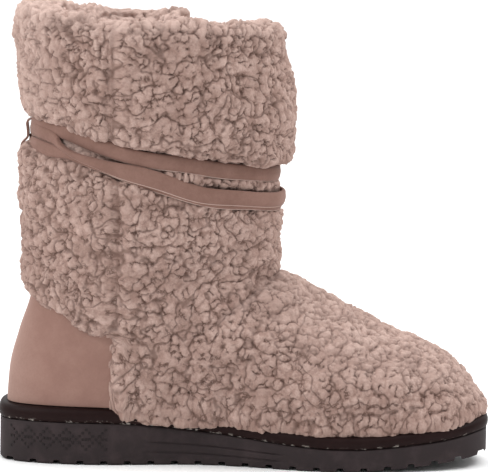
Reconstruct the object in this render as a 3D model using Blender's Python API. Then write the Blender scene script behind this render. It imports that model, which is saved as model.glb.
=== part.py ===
"""Left fleece boot with a folded cuff, a suede heel counter, a wrap strap and a lugged rubber sole.

Metres, +Z up, toe towards +X. The inner side of the left foot faces -Y.
Run with: blender --background --python part.py
"""
import math

import bmesh
import bpy
import numpy as np

# Sole sizes
SOLE_LENGTH = 0.280
BALL_WIDTH = 0.1000
HEEL_WIDTH = 0.0760
OUTSOLE_HEEL_HEIGHT = 0.0240
OUTSOLE_BALL_HEIGHT = 0.0128
RIM_HEEL_HEIGHT = 0.0086
RIM_TOE_HEIGHT = 0.0072
TOE_SPRING = 0.0078
TOE_DRIFT = 0.0050
SOLE_EDGE_BEVEL = 0.0012
RIM_BULGE = 0.0009

# Lugs and arch grooves of the outsole
LUG_PITCH = 0.0135
LUG_PHASE = 0.0014
LUG_DEPTH = 0.0024
LUG_GAP_MOUTH = 0.0040
LUG_GAP_TOP = 0.0024
LUG_CHANNEL_WIDTH = 0.0060
LUG_CHANNEL_END = 0.0220
LUG_CHANNEL_SHARE = 0.85
GROOVE_DEPTH = 0.0009
GROOVE_WIDTH = 0.0014
GROOVE_BACK_END = -0.0580
GROOVE_FRONT_END = 0.0260
GROOVE_FADE = 0.0080
BALL_PLACE = 0.0644
SOLE_TIP_LIFT = 0.0012

# Upper sizes; the backing is cloth with its lining, and the pile stands out of it
INSTEP_HEIGHT = 0.1045
COLLAR_HEIGHT = 0.2535
SHAFT_DEPTH = 0.1345
SHAFT_WIDTH = 0.0920
SHAFT_SETBACK = 0.0555
BACKING = 0.0025
PILE = 0.0065
CURL = 0.0011

# Heel counter
COUNTER_FRONT = 0.0720
COUNTER_SIDE_HEIGHT = 0.0742
COUNTER_BACK_HEIGHT = 0.1010
COUNTER_THICKNESS = 0.0016
COUNTER_MARGIN = 0.0008

# Folded cuff
CUFF_THICKNESS = 0.0105
CUFF_FRONT_FULLNESS = 0.0035
CUFF_CURL = 0.0015
CUFF_BACK_DEPTH = 0.0570
CUFF_SEAM_DEPTH = 0.0670
CUFF_FRONT_DEPTH = 0.0820
CUFF_LIP = 0.0040
CUFF_LIP_DEPTH = 0.0060
CUFF_CLEARANCE = 0.0012
CUFF_FOLD = 0.0080
CUFF_OVERHANG = 0.0030
COLLAR_NEAR_LIFT = 0.0025
COLLAR_BACK_LIFT = 0.0056
COLLAR_FRONT_DROP = 0.0022
COLLAR_FALL_START = 0.0222
COLLAR_FALL_LENGTH = 0.0450
COLLAR_RISE_START = 0.0237
COLLAR_RISE_LENGTH = 0.0360
COLLAR_STEP = 0.0090
COLLAR_STEP_PLACE = -0.0392
COLLAR_STEP_LENGTH = 0.0060

# Wrap strap and its keeper
STRAP_WIDTH = 0.0088
STRAP_THICKNESS = 0.0022
STRAP_PRESS = 0.55
KEEPER_WIDTH = 0.0085
KEEPER_THICKNESS = 0.0014
KEEPER_LENGTH = 0.0175

# Insole
INSOLE_THICKNESS = 0.0040
INSOLE_CLEARANCE = 0.0020
INSOLE_EDGE = 0.0010

# Gap that neighbouring pieces keep
GAP = 0.0003

# Columns of faces round the boot
BACK_COLUMNS = 12
FRONT_COLUMNS = 20
SOLE_SIDE_COLUMNS = 42
COUNTER_ROWS = 7
SHAFT_ROWS = 10
STRAP_ROWS = 4
CHANNEL_COLUMNS = 15

# Levels of the upper's rows inside the cuff, which level 3 starts and level 4 ends
UNDER_CUFF = 3.12
CUFF_SEAT = (UNDER_CUFF, 3.4, 3.7, 4.0)

HALF_LENGTH = SOLE_LENGTH / 2
SHAFT_MIDDLE_SHARE = 0.31
SHAFT_TOP = COLLAR_HEIGHT - COLLAR_STEP - COLLAR_FRONT_DROP - CUFF_FOLD
CUFF_BACK_EDGE = COLLAR_HEIGHT - CUFF_BACK_DEPTH
CUFF_SEAM_EDGE = COLLAR_HEIGHT - CUFF_SEAM_DEPTH
CUFF_FRONT_EDGE = COLLAR_HEIGHT - CUFF_FRONT_DEPTH
NEAR, FAR = -1, 1
SETTLING_STEPS = 9
SIDE_LINE_POINTS = 181

# Sole outline: place along the sole, half width of the inner and the outer side.
# Places are shares of the length from the heel, widths are shares of half the ball width,
# and the first two rows follow the heel width. The roundness of the heel and of the toe follows.
SOLE_OUTLINE = (
    ("heel end", 0.00, 0.95, 0.97),
    ("heel", 0.15, 0.98, 1.02),
    ("waist", 0.40, 0.61, 0.84),
    ("ball", 0.70, 0.96, 1.04),
    ("toe", 1.00, 0.88, 0.90),
)
HEEL_ROUNDNESS = 3.7
TOE_ROUNDNESS = 3.1

# Outsole thickness: places where it starts and stops getting thinner, and where the tip lifts,
# as shares of half the length, and the power of the toe spring's curve.
WAIST_BACK, WAIST_FRONT = -0.62, 0.40
TIP_START = 0.80
SPRING_POWER = 1.35

# Side of the outsole: names and heights, as shares of its own height, of the two arch grooves
ARCH_GROOVES = (
    ("lower groove", 0.32),
    ("upper groove", 0.58),
)

# Section of the rim: share of its height, and share of the bulge that it stands out
RIM_SECTION = (
    ("foot", 0.00, -0.9),
    ("low side", 0.16, 0.6),
    ("side", 0.50, 1.0),
    ("high side", 0.82, 0.4),
    ("lip", 1.00, -1.8),
)

# Back of the foot part: height as a share of the instep height, and reach behind the
# middle as a share of half the sole length.
HEEL_PROFILE = (
    ("base", 0.20, 0.964),
    ("seat", 0.50, 0.947),
    ("calcaneus", 0.70, 0.909),
    ("above counter", 0.92, 0.862),
)

# Top line of the vamp: height as a share of the instep height, reach as a share of half the length.
VAMP_PROFILE = (
    ("toe base", 0.20, 0.952),
    ("toe wall", 0.31, 0.944),
    ("toe cap", 0.38, 0.914),
    ("toe crown", 0.43, 0.887),
    ("toe top", 0.485, 0.842),
    ("box end", 0.54, 0.784),
    ("ball top", 0.602, 0.704),
    ("ball back", 0.652, 0.619),
    ("vamp", 0.723, 0.504),
    ("waist top", 0.817, 0.357),
    ("instep", 0.872, 0.283),
    ("instep back", 0.925, 0.212),
)

# Shaft: height as a share of the rise from instep to collar, back and front edge as shares
# of half the shaft depth from the shaft's middle.
SHAFT_PROFILE = (
    ("ankle", 0.02, 0.962, 1.010),
    ("lower shaft", 0.14, 0.985, 1.020),
    ("shaft", 0.26, 1.002, 1.030),
    ("calf", 0.40, 1.014, 1.000),
    ("under strap", 0.485, 0.995, 0.990),
    ("strap", 0.545, 0.872, 1.005),
    ("cuff edge", 0.65, 0.905, 1.020),
    ("cuff", 0.80, 0.952, 1.004),
    ("collar", 1.00, 1.014, 0.956),
)

# Half widths: height as a share of the instep height, then rear, middle inner, middle outer,
# front inner and front outer as shares of half the ball width, with the roundness of the
# back and the front end.
FOOT_WIDTHS = (
    ("base", 0.25, 0.632, 0.570, 0.680, 0.820, 0.890, 3.4, 3.2),
    ("low side", 0.43, 0.660, 0.630, 0.710, 0.835, 0.905, 3.2, 3.0),
    ("side", 0.57, 0.670, 0.670, 0.730, 0.765, 0.825, 2.9, 2.5),
    ("top side", 0.72, 0.680, 0.705, 0.750, 0.705, 0.745, 2.6, 2.3),
    ("instep", 0.86, 0.700, 0.745, 0.785, 0.665, 0.700, 2.35, 2.2),
)

# Half widths of the shaft: height as a share of the rise, then rear, middle and front as shares
# of half the shaft width.
SHAFT_WIDTHS = (
    ("ankle", 0.00, 0.800, 0.875, 0.750),
    ("lower shaft", 0.14, 0.870, 0.955, 0.850),
    ("shaft", 0.31, 0.915, 1.000, 0.915),
    ("strap", 0.55, 0.890, 0.985, 0.905),
    ("cuff", 0.75, 0.950, 1.050, 0.955),
    ("collar", 1.00, 1.000, 1.105, 1.000),
)
SHAFT_ROUNDNESS = 2.15

# Where the half widths lie between the back and the front tip, with what share of the rear or
# front width the outline has at the tips.
WIDTH_STATIONS = (0.0, 0.15, 0.42, 0.70, 1.0)
BACK_TIP_WIDTH, FRONT_TIP_WIDTH = 0.96, 0.93

# Curve of the counter's top edge: shares of a straight and of a hollow rise
COUNTER_STRAIGHT, COUNTER_HOLLOW = 0.62, 0.38

# Outer flap of the cuff: share of its thickness, share of its height, and share of the front's
# fullness that is added.
CUFF_FLAP = (
    ("under edge", 0.40, 0.000, 0.50),
    ("hem", 0.90, 0.025, 1.30),
    ("low flap", 1.00, 0.080, 1.20),
    ("flap", 1.00, 0.215, 1.14),
    ("middle", 1.00, 0.350, 0.98),
    ("high flap", 1.00, 0.485, 0.72),
    ("under roll", 1.00, 0.620, 0.39),
    ("roll", 1.00, 0.755, 0.02),
)

# Fold of the cuff: share of its thickness, and depth under the collar as a share of the fold
CUFF_ROLL = (
    ("shoulder", 0.94, 0.625),
    ("crown", 0.62, 0.125),
    ("top", 0.10, 0.000),
)

# Inside of the fold: share of the lip's thickness, and depth under the collar as a share of the fold
CUFF_INSIDE = (
    ("inner shoulder", 0.60, 0.25),
    ("inner side", 1.00, 0.90),
)
CUFF_LIP_END = 0.8

# Passes of the strap: name, drop of its middle line under the cuff's edge in strap widths at the
# back, the seam and the front, and the share of its thickness that it lies over the pass below.
STRAP_PASSES = (
    ("upper pass", 0.75, 0.51, 0.94, 0.25),
    ("middle pass", 0.97, 1.61, 2.57, 0.50),
    ("lower pass", 1.33, 1.83, 2.74, 0.00),
)
STRAP_BACK_PLACE = 0.89

# Pressed pile under the strap: distance below it, in strap widths, where the pile starts and
# stops rising, and shares of the pile at the sole.
PRESS_START, PRESS_END = 0.45, 1.25
SOLE_PILE = 0.75

# Keeper: shares of its length where it stands away from the shaft, and by how many straps
KEEPER_SHOULDER = 0.08
KEEPER_ROOM = 1.5

# Colour, roughness and metallic value of each material
FLEECE_COLOUR = (0.37, 0.26, 0.22)
SUEDE_COLOUR = (0.33, 0.20, 0.165)
STRAP_COLOUR = (0.24, 0.14, 0.11)
SOLE_COLOUR = (0.042, 0.030, 0.030)
RIM_COLOUR = (0.022, 0.011, 0.010)
FOOTBED_COLOUR = (0.45, 0.34, 0.29)


def smooth_step(value):
    """0 below 0, 1 above 1 and a soft S between"""
    clipped = np.clip(value, 0.0, 1.0)
    return clipped * clipped * (3.0 - 2.0 * clipped)


def curve_through(knots, values, at):
    """Smooth curve through the knots that never overshoots, and is level past its ends"""
    knots = np.asarray(knots, float)
    values = np.asarray(values, float)
    steps = np.diff(knots)
    slopes = np.diff(values) / steps
    tangents = np.zeros(len(knots))
    for k in range(1, len(knots) - 1):
        if slopes[k - 1] * slopes[k] > 0:
            before = 2 * steps[k] + steps[k - 1]
            after = steps[k] + 2 * steps[k - 1]
            tangents[k] = (before + after) / (before / slopes[k - 1] + after / slopes[k])
    tangents[0] = slopes[0]
    tangents[-1] = slopes[-1]
    at = np.clip(at, knots[0], knots[-1])
    k = np.clip(np.searchsorted(knots, at, side="right") - 1, 0, len(steps) - 1)
    share = (at - knots[k]) / steps[k]
    rise_in = share * (1 - share) ** 2 * steps[k]
    rise_out = share ** 2 * (share - 1) * steps[k]
    level = share ** 2 * (3 - 2 * share)
    base = values[k] * (1 - level) + values[k + 1] * level
    return base + tangents[k] * rise_in + tangents[k + 1] * rise_out


def shaft_height(share):
    return INSTEP_HEIGHT + share * (COLLAR_HEIGHT - INSTEP_HEIGHT)


def back_edge(height):
    """X of the upper's backing at the back"""
    knots = [row[1] * INSTEP_HEIGHT for row in HEEL_PROFILE]
    knots += [shaft_height(row[1]) for row in SHAFT_PROFILE]
    values = [-row[2] * HALF_LENGTH for row in HEEL_PROFILE]
    values += [-SHAFT_SETBACK - row[2] * SHAFT_DEPTH / 2 for row in SHAFT_PROFILE]
    return curve_through(knots, values, height)


def front_edge(height):
    """X of the upper's backing at the front: toe, top line of the vamp, then the shaft"""
    knots = [row[1] * INSTEP_HEIGHT for row in VAMP_PROFILE]
    knots += [shaft_height(row[1]) for row in SHAFT_PROFILE]
    values = [row[2] * HALF_LENGTH for row in VAMP_PROFILE]
    values += [-SHAFT_SETBACK + row[3] * SHAFT_DEPTH / 2 for row in SHAFT_PROFILE]
    return curve_through(knots, values, height)


def upper_widths(height, side):
    """Rear, middle and front half width at this height, with the roundness of both ends"""
    knots = [row[1] * INSTEP_HEIGHT for row in FOOT_WIDTHS]
    knots += [shaft_height(row[1]) for row in SHAFT_WIDTHS]
    middle, front = (3, 5) if side == NEAR else (4, 6)
    ball, shaft = BALL_WIDTH / 2, SHAFT_WIDTH / 2
    columns = []
    for foot_column, shaft_column in ((2, 2), (middle, 3), (front, 4)):
        values = [row[foot_column] * ball for row in FOOT_WIDTHS]
        values += [row[shaft_column] * shaft for row in SHAFT_WIDTHS]
        columns.append(float(curve_through(knots, values, height)))
    for column in (7, 8):
        values = [row[column] for row in FOOT_WIDTHS] + [SHAFT_ROUNDNESS] * len(SHAFT_WIDTHS)
        columns.append(float(curve_through(knots, values, height)))
    return columns


def toe_drift(x):
    """Shift of the middle line towards the inner side, from the waist to the toe"""
    return -TOE_DRIFT * smooth_step(x / HALF_LENGTH)


def rounded_side(back, front, stations, widths, back_round, front_round, side):
    """Dense line of one side of a closed outline, from the back tip to the front tip"""
    angle = np.linspace(0.0, math.pi, SIDE_LINE_POINTS)
    cosine, sine = np.cos(angle), np.sin(angle)
    power = np.where(cosine > 0, 2.0 / back_round, 2.0 / front_round)
    place = 0.5 - 0.5 * np.sign(cosine) * np.abs(cosine) ** power
    reach = np.abs(sine) ** power
    x = back + place * (front - back)
    y = side * curve_through(stations, widths, place) * reach + toe_drift(x)
    return np.stack([x, y], axis=1)


def line_lengths(line):
    """Length along a dense line up to each of its points"""
    steps = np.linalg.norm(np.diff(line, axis=0), axis=1)
    return np.concatenate([[0.0], np.cumsum(steps)])


def along(line, start, end, shares):
    """Points at the given shares of the length between two places on a dense line"""
    lengths = line_lengths(line)
    wanted = start + (end - start) * np.asarray(shares)
    return np.stack([np.interp(wanted, lengths, line[:, 0]), np.interp(wanted, lengths, line[:, 1])], axis=1)


def upper_side(height, side):
    """One side of the backing's outline at a height, and its lengths to the seam and to the end"""
    rear, middle, front, back_round, front_round = upper_widths(height, side)
    widths = (rear * BACK_TIP_WIDTH, rear, middle, front, front * FRONT_TIP_WIDTH)
    line = rounded_side(float(back_edge(height)), float(front_edge(height)), WIDTH_STATIONS, widths,
                        back_round, front_round, side)
    lengths = line_lengths(line)
    seam = float(np.interp(-COUNTER_FRONT, line[:, 0], lengths))
    return line, seam, lengths[-1]


def column_shares(back_columns, front_columns):
    """Pairs of side and share for each column: -1..0 behind the seam, 0..1 in front of it"""
    behind = [k / back_columns - 1.0 for k in range(back_columns)]
    ahead = [k / front_columns for k in range(front_columns + 1)]
    one_side = behind + ahead
    columns = [(NEAR, share) for share in one_side]
    columns += [(FAR, share) for share in reversed(one_side[1:-1])]
    return columns


def backing_point(height, side, share):
    """Point of the backing in a column at a height"""
    line, seam, end = upper_side(height, side)
    if share < 0:
        x, y = along(line, 0.0, seam, [share + 1.0])[0]
    else:
        x, y = along(line, seam, end, [share])[0]
    return x, y, height


def outsole_bottom(x):
    """Height of the tread face: flat, then the toe spring"""
    rise = np.clip((x - BALL_PLACE) / (HALF_LENGTH - BALL_PLACE), 0.0, 1.0)
    return TOE_SPRING * rise ** SPRING_POWER


def outsole_top(x):
    """Height of the parting line between outsole and rim"""
    share = smooth_step((x / HALF_LENGTH - WAIST_BACK) / (WAIST_FRONT - WAIST_BACK))
    tip = smooth_step((x / HALF_LENGTH - TIP_START) / (1.0 - TIP_START))
    height = OUTSOLE_HEEL_HEIGHT + (OUTSOLE_BALL_HEIGHT - OUTSOLE_HEEL_HEIGHT) * share
    return height + outsole_bottom(x) + SOLE_TIP_LIFT * tip


def rim_height(x):
    share = smooth_step(0.5 + 0.5 * x / HALF_LENGTH)
    return RIM_HEEL_HEIGHT + (RIM_TOE_HEIGHT - RIM_HEEL_HEIGHT) * share


def sole_top(x):
    """Height of the face that the upper stands on"""
    return outsole_top(x) + rim_height(x)


def counter_top(x):
    """Height of the counter's top edge, rising from the seam to the back"""
    start, end = -COUNTER_FRONT, -SHAFT_SETBACK - SHAFT_DEPTH / 2
    share = np.clip((start - x) / (start - end), 0.0, 1.0)
    rise = COUNTER_BACK_HEIGHT - COUNTER_SIDE_HEIGHT
    return COUNTER_SIDE_HEIGHT + rise * (COUNTER_STRAIGHT * share + COUNTER_HOLLOW * share ** 2)


def row_height(level, x):
    """Height at x of a row of faces.

    Level 0 is the sole, 1 the counter's top, 2 the middle of the shaft, 3 the cuff's lower edge
    and 4 the shaft's own edge inside the cuff.
    """
    middle = shaft_height(SHAFT_MIDDLE_SHARE)
    stops = (sole_top(x) + GAP, counter_top(x), middle, cuff_edge(x) - CUFF_OVERHANG, SHAFT_TOP)
    return float(np.interp(level, (0.0, 1.0, 2.0, 3.0, 4.0), [float(stop) for stop in stops]))


def backing_grid(levels, columns):
    """Grid of backing points whose rows follow the sole, the counter's edge and the strap"""
    grid = np.zeros((len(levels), len(columns), 3))
    for r, level in enumerate(levels):
        for c, (side, share) in enumerate(columns):
            grid[r, c] = settled_point(lambda x: row_height(level, x), side, share)
    return grid


def settled_point(height_at, side, share):
    """Point of the backing in a column where the height itself depends on x"""
    x = -COUNTER_FRONT
    for _ in range(SETTLING_STEPS):
        point = backing_point(float(height_at(x)), side, share)
        x = 0.5 * (x + point[0])
    return point[0], point[1], float(height_at(x))


def grid_normals(grid, level_ends=False):
    """Outward normals of a grid whose rows close on themselves"""
    around = np.roll(grid, -1, axis=1) - np.roll(grid, 1, axis=1)
    up = np.zeros_like(grid)
    up[1:-1] = grid[2:] - grid[:-2]
    up[0] = grid[1] - grid[0]
    up[-1] = grid[-1] - grid[-2]
    normals = np.cross(around, up)
    if level_ends:
        normals[0, :, 2] = 0.0
        normals[-1, :, 2] = 0.0
    return normals / np.linalg.norm(normals, axis=2, keepdims=True)


def scatter(row, column, seed):
    """Repeatable number from -1 to 1 for a lump of the pile"""
    value = math.sin(row * 12.9898 + column * 78.233 + seed * 37.719) * 43758.5453
    return 2.0 * (value - math.floor(value)) - 1.0


def collar_height(x, side, across):
    """Height of the collar's edge; across is -1 on the inner side and 1 on the outer side.

    The back and the inner side stand higher, and the outer side steps down towards the front.
    """
    ahead = x + SHAFT_SETBACK
    near_share = smooth_step(0.5 - 0.5 * across)
    front_share = smooth_step((ahead - COLLAR_FALL_START) / COLLAR_FALL_LENGTH)
    back_share = smooth_step((-ahead - COLLAR_RISE_START) / COLLAR_RISE_LENGTH)
    height = COLLAR_HEIGHT + COLLAR_NEAR_LIFT * near_share
    height += COLLAR_BACK_LIFT * back_share - COLLAR_FRONT_DROP * front_share
    if side == FAR:
        step_share = smooth_step((x - COLLAR_STEP_PLACE) / COLLAR_STEP_LENGTH)
        height -= COLLAR_STEP * step_share * smooth_step(across * 2.0)
    return height


def cuff_edge(x):
    """Height of the cuff's lower edge: from the back over the seam to the front"""
    back = float(back_edge(CUFF_SEAM_EDGE))
    front = float(front_edge(CUFF_SEAM_EDGE))
    return curve_through((back, -COUNTER_FRONT, front), (CUFF_BACK_EDGE, CUFF_SEAM_EDGE, CUFF_FRONT_EDGE), x)


def new_object(name, vertices, faces, material, smooth_angle=40.0):
    """Object from vertices and faces, with its faces turned outward"""
    mesh = bpy.data.meshes.new(name)
    mesh.from_pydata([tuple(vertex) for vertex in vertices], [], faces)
    work = bmesh.new()
    work.from_mesh(mesh)
    bmesh.ops.recalc_face_normals(work, faces=work.faces)
    bmesh.ops.triangulate(work, faces=work.faces)
    work.to_mesh(mesh)
    work.free()
    mesh.shade_smooth()
    mesh.set_sharp_from_angle(angle=math.radians(smooth_angle))
    obj = bpy.data.objects.new(name, mesh)
    bpy.context.collection.objects.link(obj)
    obj.data.materials.append(material)
    return obj


def make_material(name, colour, roughness):
    material = bpy.data.materials.new(name)
    material.use_nodes = True
    shader = material.node_tree.nodes["Principled BSDF"]
    shader.inputs["Base Color"].default_value = (*colour, 1.0)
    shader.inputs["Roughness"].default_value = roughness
    shader.inputs["Metallic"].default_value = 0.0
    return material


def ring_quads(first, second, count):
    """Faces between two closed rings that start at these vertex numbers"""
    faces = []
    for c in range(count):
        n = (c + 1) % count
        faces.append((first + c, first + n, second + n, second + c))
    return faces


def ladder_cap(start, side_count):
    """Faces across a closed ring, from the inner side straight to the outer side"""
    count = 2 * side_count
    faces = [(start, start + 1, start + count - 1)]
    for c in range(1, side_count - 1):
        faces.append((start + c, start + c + 1, start + count - c - 1, start + count - c))
    faces.append((start + side_count - 1, start + side_count, start + side_count + 1))
    return faces


def sole_ring(inset):
    """Sole outline moved in by a length, with the same number of columns on both sides"""
    ball, heel = BALL_WIDTH / 2, HEEL_WIDTH / 2
    stations = [row[1] for row in SOLE_OUTLINE]
    points = []
    for side, column in ((NEAR, 2), (FAR, 3)):
        widths = [row[column] * (heel if k < 2 else ball) - inset for k, row in enumerate(SOLE_OUTLINE)]
        line = rounded_side(-HALF_LENGTH + inset, HALF_LENGTH - inset, stations, widths,
                            HEEL_ROUNDNESS, TOE_ROUNDNESS, side)
        shares = np.linspace(0.0, 1.0, SOLE_SIDE_COLUMNS + 1)
        points.append(along(line, 0.0, line_lengths(line)[-1], shares))
    return np.concatenate([points[0], points[1][-2:0:-1]])


def sole_body(name, rows, material):
    """Closed body between rings of the sole outline.

    A row gives the inset, the height function and the depth of a groove in the arch.
    """
    rings = []
    for inset, height, groove in rows:
        ring = sole_ring(inset)
        ring = np.column_stack([ring, [float(height(x)) for x in ring[:, 0]]])
        depth = groove * arch_share(ring[:, 0])
        rings.append(ring - level_normals(ring) * depth[:, None])
    count = len(rings[0])
    faces = []
    for r in range(len(rings) - 1):
        faces += ring_quads(r * count, (r + 1) * count, count)
    faces += [tuple(reversed(face)) for face in ladder_cap(0, SOLE_SIDE_COLUMNS)]
    faces += ladder_cap((len(rings) - 1) * count, SOLE_SIDE_COLUMNS)
    return new_object(name, np.concatenate(rings), faces, material, 30.0)


def lug_cutter():
    """Prisms across the sole for the gaps between lugs"""
    vertices, faces = [], []
    half_count = int(HALF_LENGTH / LUG_PITCH)
    for k in range(-half_count, half_count + 1):
        x = LUG_PHASE + k * LUG_PITCH
        low = float(outsole_bottom(x)) - 2 * LUG_DEPTH
        high = float(outsole_bottom(x)) + LUG_DEPTH
        slope = (LUG_GAP_MOUTH - LUG_GAP_TOP) / 2
        section = ((-LUG_GAP_MOUTH / 2 - 2 * slope, low), (LUG_GAP_MOUTH / 2 + 2 * slope, low),
                   (LUG_GAP_TOP / 2, high), (-LUG_GAP_TOP / 2, high))
        start = len(vertices)
        for y in (-BALL_WIDTH, BALL_WIDTH):
            vertices += [(x + across, y, height) for across, height in section]
        for a in range(4):
            b = (a + 1) % 4
            faces.append((start + a, start + b, start + 4 + b, start + 4 + a))
        faces.append((start + 3, start + 2, start + 1, start))
        faces.append((start + 4, start + 5, start + 6, start + 7))
    return new_object("lug_cutter", vertices, faces, None)


def channel_cutter():
    """Lengthwise channel along the middle of the tread, following the toe spring"""
    vertices, faces = [], []
    places = np.linspace(-HALF_LENGTH + LUG_CHANNEL_END, HALF_LENGTH - LUG_CHANNEL_END, CHANNEL_COLUMNS)
    for x in places:
        middle = float(toe_drift(x))
        low = float(outsole_bottom(x)) - 2 * LUG_DEPTH
        high = float(outsole_bottom(x)) + LUG_CHANNEL_SHARE * LUG_DEPTH
        for y, height in ((-1, low), (1, low), (1, high), (-1, high)):
            vertices.append((x, middle + y * LUG_CHANNEL_WIDTH / 2, height))
    for k in range(len(places) - 1):
        for a in range(4):
            b = (a + 1) % 4
            faces.append((4 * k + a, 4 * k + b, 4 * k + 4 + b, 4 * k + 4 + a))
    last = 4 * (len(places) - 1)
    faces.append((3, 2, 1, 0))
    faces.append((last, last + 1, last + 2, last + 3))
    return new_object("channel_cutter", vertices, faces, None)


def cut(target, cutter):
    cutter.hide_render = True
    cutter.display_type = "WIRE"
    modifier = target.modifiers.new("cut_" + cutter.name, "BOOLEAN")
    modifier.operation = "DIFFERENCE"
    modifier.solver = "EXACT"
    modifier.object = cutter


def arch_share(x):
    """1 along the arch, where the side is grooved, and 0 at heel and toe"""
    start = smooth_step((x - GROOVE_BACK_END) / GROOVE_FADE)
    return start * smooth_step((GROOVE_FRONT_END - x) / GROOVE_FADE)


def make_outsole(material):
    """Rubber outsole with its toe spring, arch grooves and lugs"""
    def side_height(share, shift=0.0):
        return lambda x: outsole_bottom(x) + share * (outsole_top(x) - outsole_bottom(x)) + shift

    rows = [
        (SOLE_EDGE_BEVEL, outsole_bottom, 0.0),
        (0.0, side_height(0.0, SOLE_EDGE_BEVEL), 0.0),
    ]
    for _, share in ARCH_GROOVES:
        for shift, depth in ((-GROOVE_WIDTH / 2, 0.0), (0.0, GROOVE_DEPTH), (GROOVE_WIDTH / 2, 0.0)):
            rows.append((0.0, side_height(share, shift), depth))
    rows.append((0.0, side_height(1.0, -SOLE_EDGE_BEVEL / 2), 0.0))
    rows.append((SOLE_EDGE_BEVEL / 2, outsole_top, 0.0))
    outsole = sole_body("outsole", rows, material)
    cut(outsole, lug_cutter())
    cut(outsole, channel_cutter())
    return outsole


def make_rim(material):
    """Glossy rim between outsole and upper, with a rounded lip"""
    def height(share):
        return lambda x: outsole_top(x) + GAP + share * (rim_height(x) - GAP)

    rows = [(-RIM_BULGE * out, height(share), 0.0) for _, share, out in RIM_SECTION]
    return sole_body("midsole_rim", rows, material)


def has_pile(level, share):
    """False on the heel counter's seat and at its edge, True on the fleece"""
    return level > 1.0 or share > 0.0


def pile_under_strap(point):
    """Share of the pile that stands at a point of the backing: less where the strap presses it"""
    below = strap_height(STRAP_PASSES[-1], point[0]) - STRAP_WIDTH / 2 - point[2]
    limits = (PRESS_START * STRAP_WIDTH, PRESS_END * STRAP_WIDTH)
    return float(np.interp(below, limits, (STRAP_PRESS, 1.0)))


def strap_seat():
    """Height of the pressed pile's highest lumps over the backing"""
    return PILE * STRAP_PRESS + CURL + 4 * GAP


def make_upper(material):
    """Hollow upper: fleece vamp and shaft, bare backing under the counter and under the cuff"""
    columns = column_shares(BACK_COLUMNS, FRONT_COLUMNS)
    levels = [k / COUNTER_ROWS for k in range(COUNTER_ROWS + 1)]
    levels += [1.0 + k / SHAFT_ROWS for k in range(1, SHAFT_ROWS + 1)]
    levels += [2.0 + k / STRAP_ROWS for k in range(1, STRAP_ROWS + 1)] + list(CUFF_SEAT)
    grid = backing_grid(levels, columns)
    normals = grid_normals(grid, level_ends=True)
    pile = np.zeros((len(levels), len(columns)))
    for r, level in enumerate(levels):
        full = SOLE_PILE if r == 0 else float(np.interp(level, (3.0, UNDER_CUFF), (1.0, 0.0)))
        for c, (side, share) in enumerate(columns):
            pressed = pile_under_strap(grid[r, c])
            lump = CURL * pressed * scatter(r, c, 1.0) if 0 < level < UNDER_CUFF else 0.0
            pile[r, c] = has_pile(level, share) * (PILE * full * pressed + lump)
    outer = grid + normals * pile[:, :, None]
    outer[0, :, 2] = sole_top(outer[0, :, 0]) + GAP
    inner_rows = list(range(0, len(levels), 2))
    if inner_rows[-1] != len(levels) - 1:
        inner_rows.append(len(levels) - 1)
    inner = (grid - normals * BACKING)[inner_rows][:, ::2]
    inner[0, :, 2] = sole_top(inner[0, :, 0]) + GAP
    rows, count = len(levels), len(columns)
    half = count // 2
    vertices = np.concatenate([outer.reshape(-1, 3), inner.reshape(-1, 3)])
    base = rows * count
    faces = []
    for r in range(rows - 1):
        faces += ring_quads(r * count, (r + 1) * count, count)
    for r in range(len(inner_rows) - 1):
        faces += [tuple(reversed(f)) for f in ring_quads(base + r * half, base + (r + 1) * half, half)]
    top, inner_top = (rows - 1) * count, base + (len(inner_rows) - 1) * half
    for ring, inner_ring, turn in ((0, base, True), (top, inner_top, False)):
        for c in range(half):
            n = (c + 1) % half
            a, b, d = ring + 2 * c, ring + 2 * c + 1, ring + (2 * c + 2) % count
            p, q = inner_ring + c, inner_ring + n
            strip = [(a, b, p), (b, q, p), (b, d, q)]
            faces += [tuple(reversed(f)) for f in strip] if turn else strip
    return new_object("upper", vertices, faces, material, 60.0)


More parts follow.
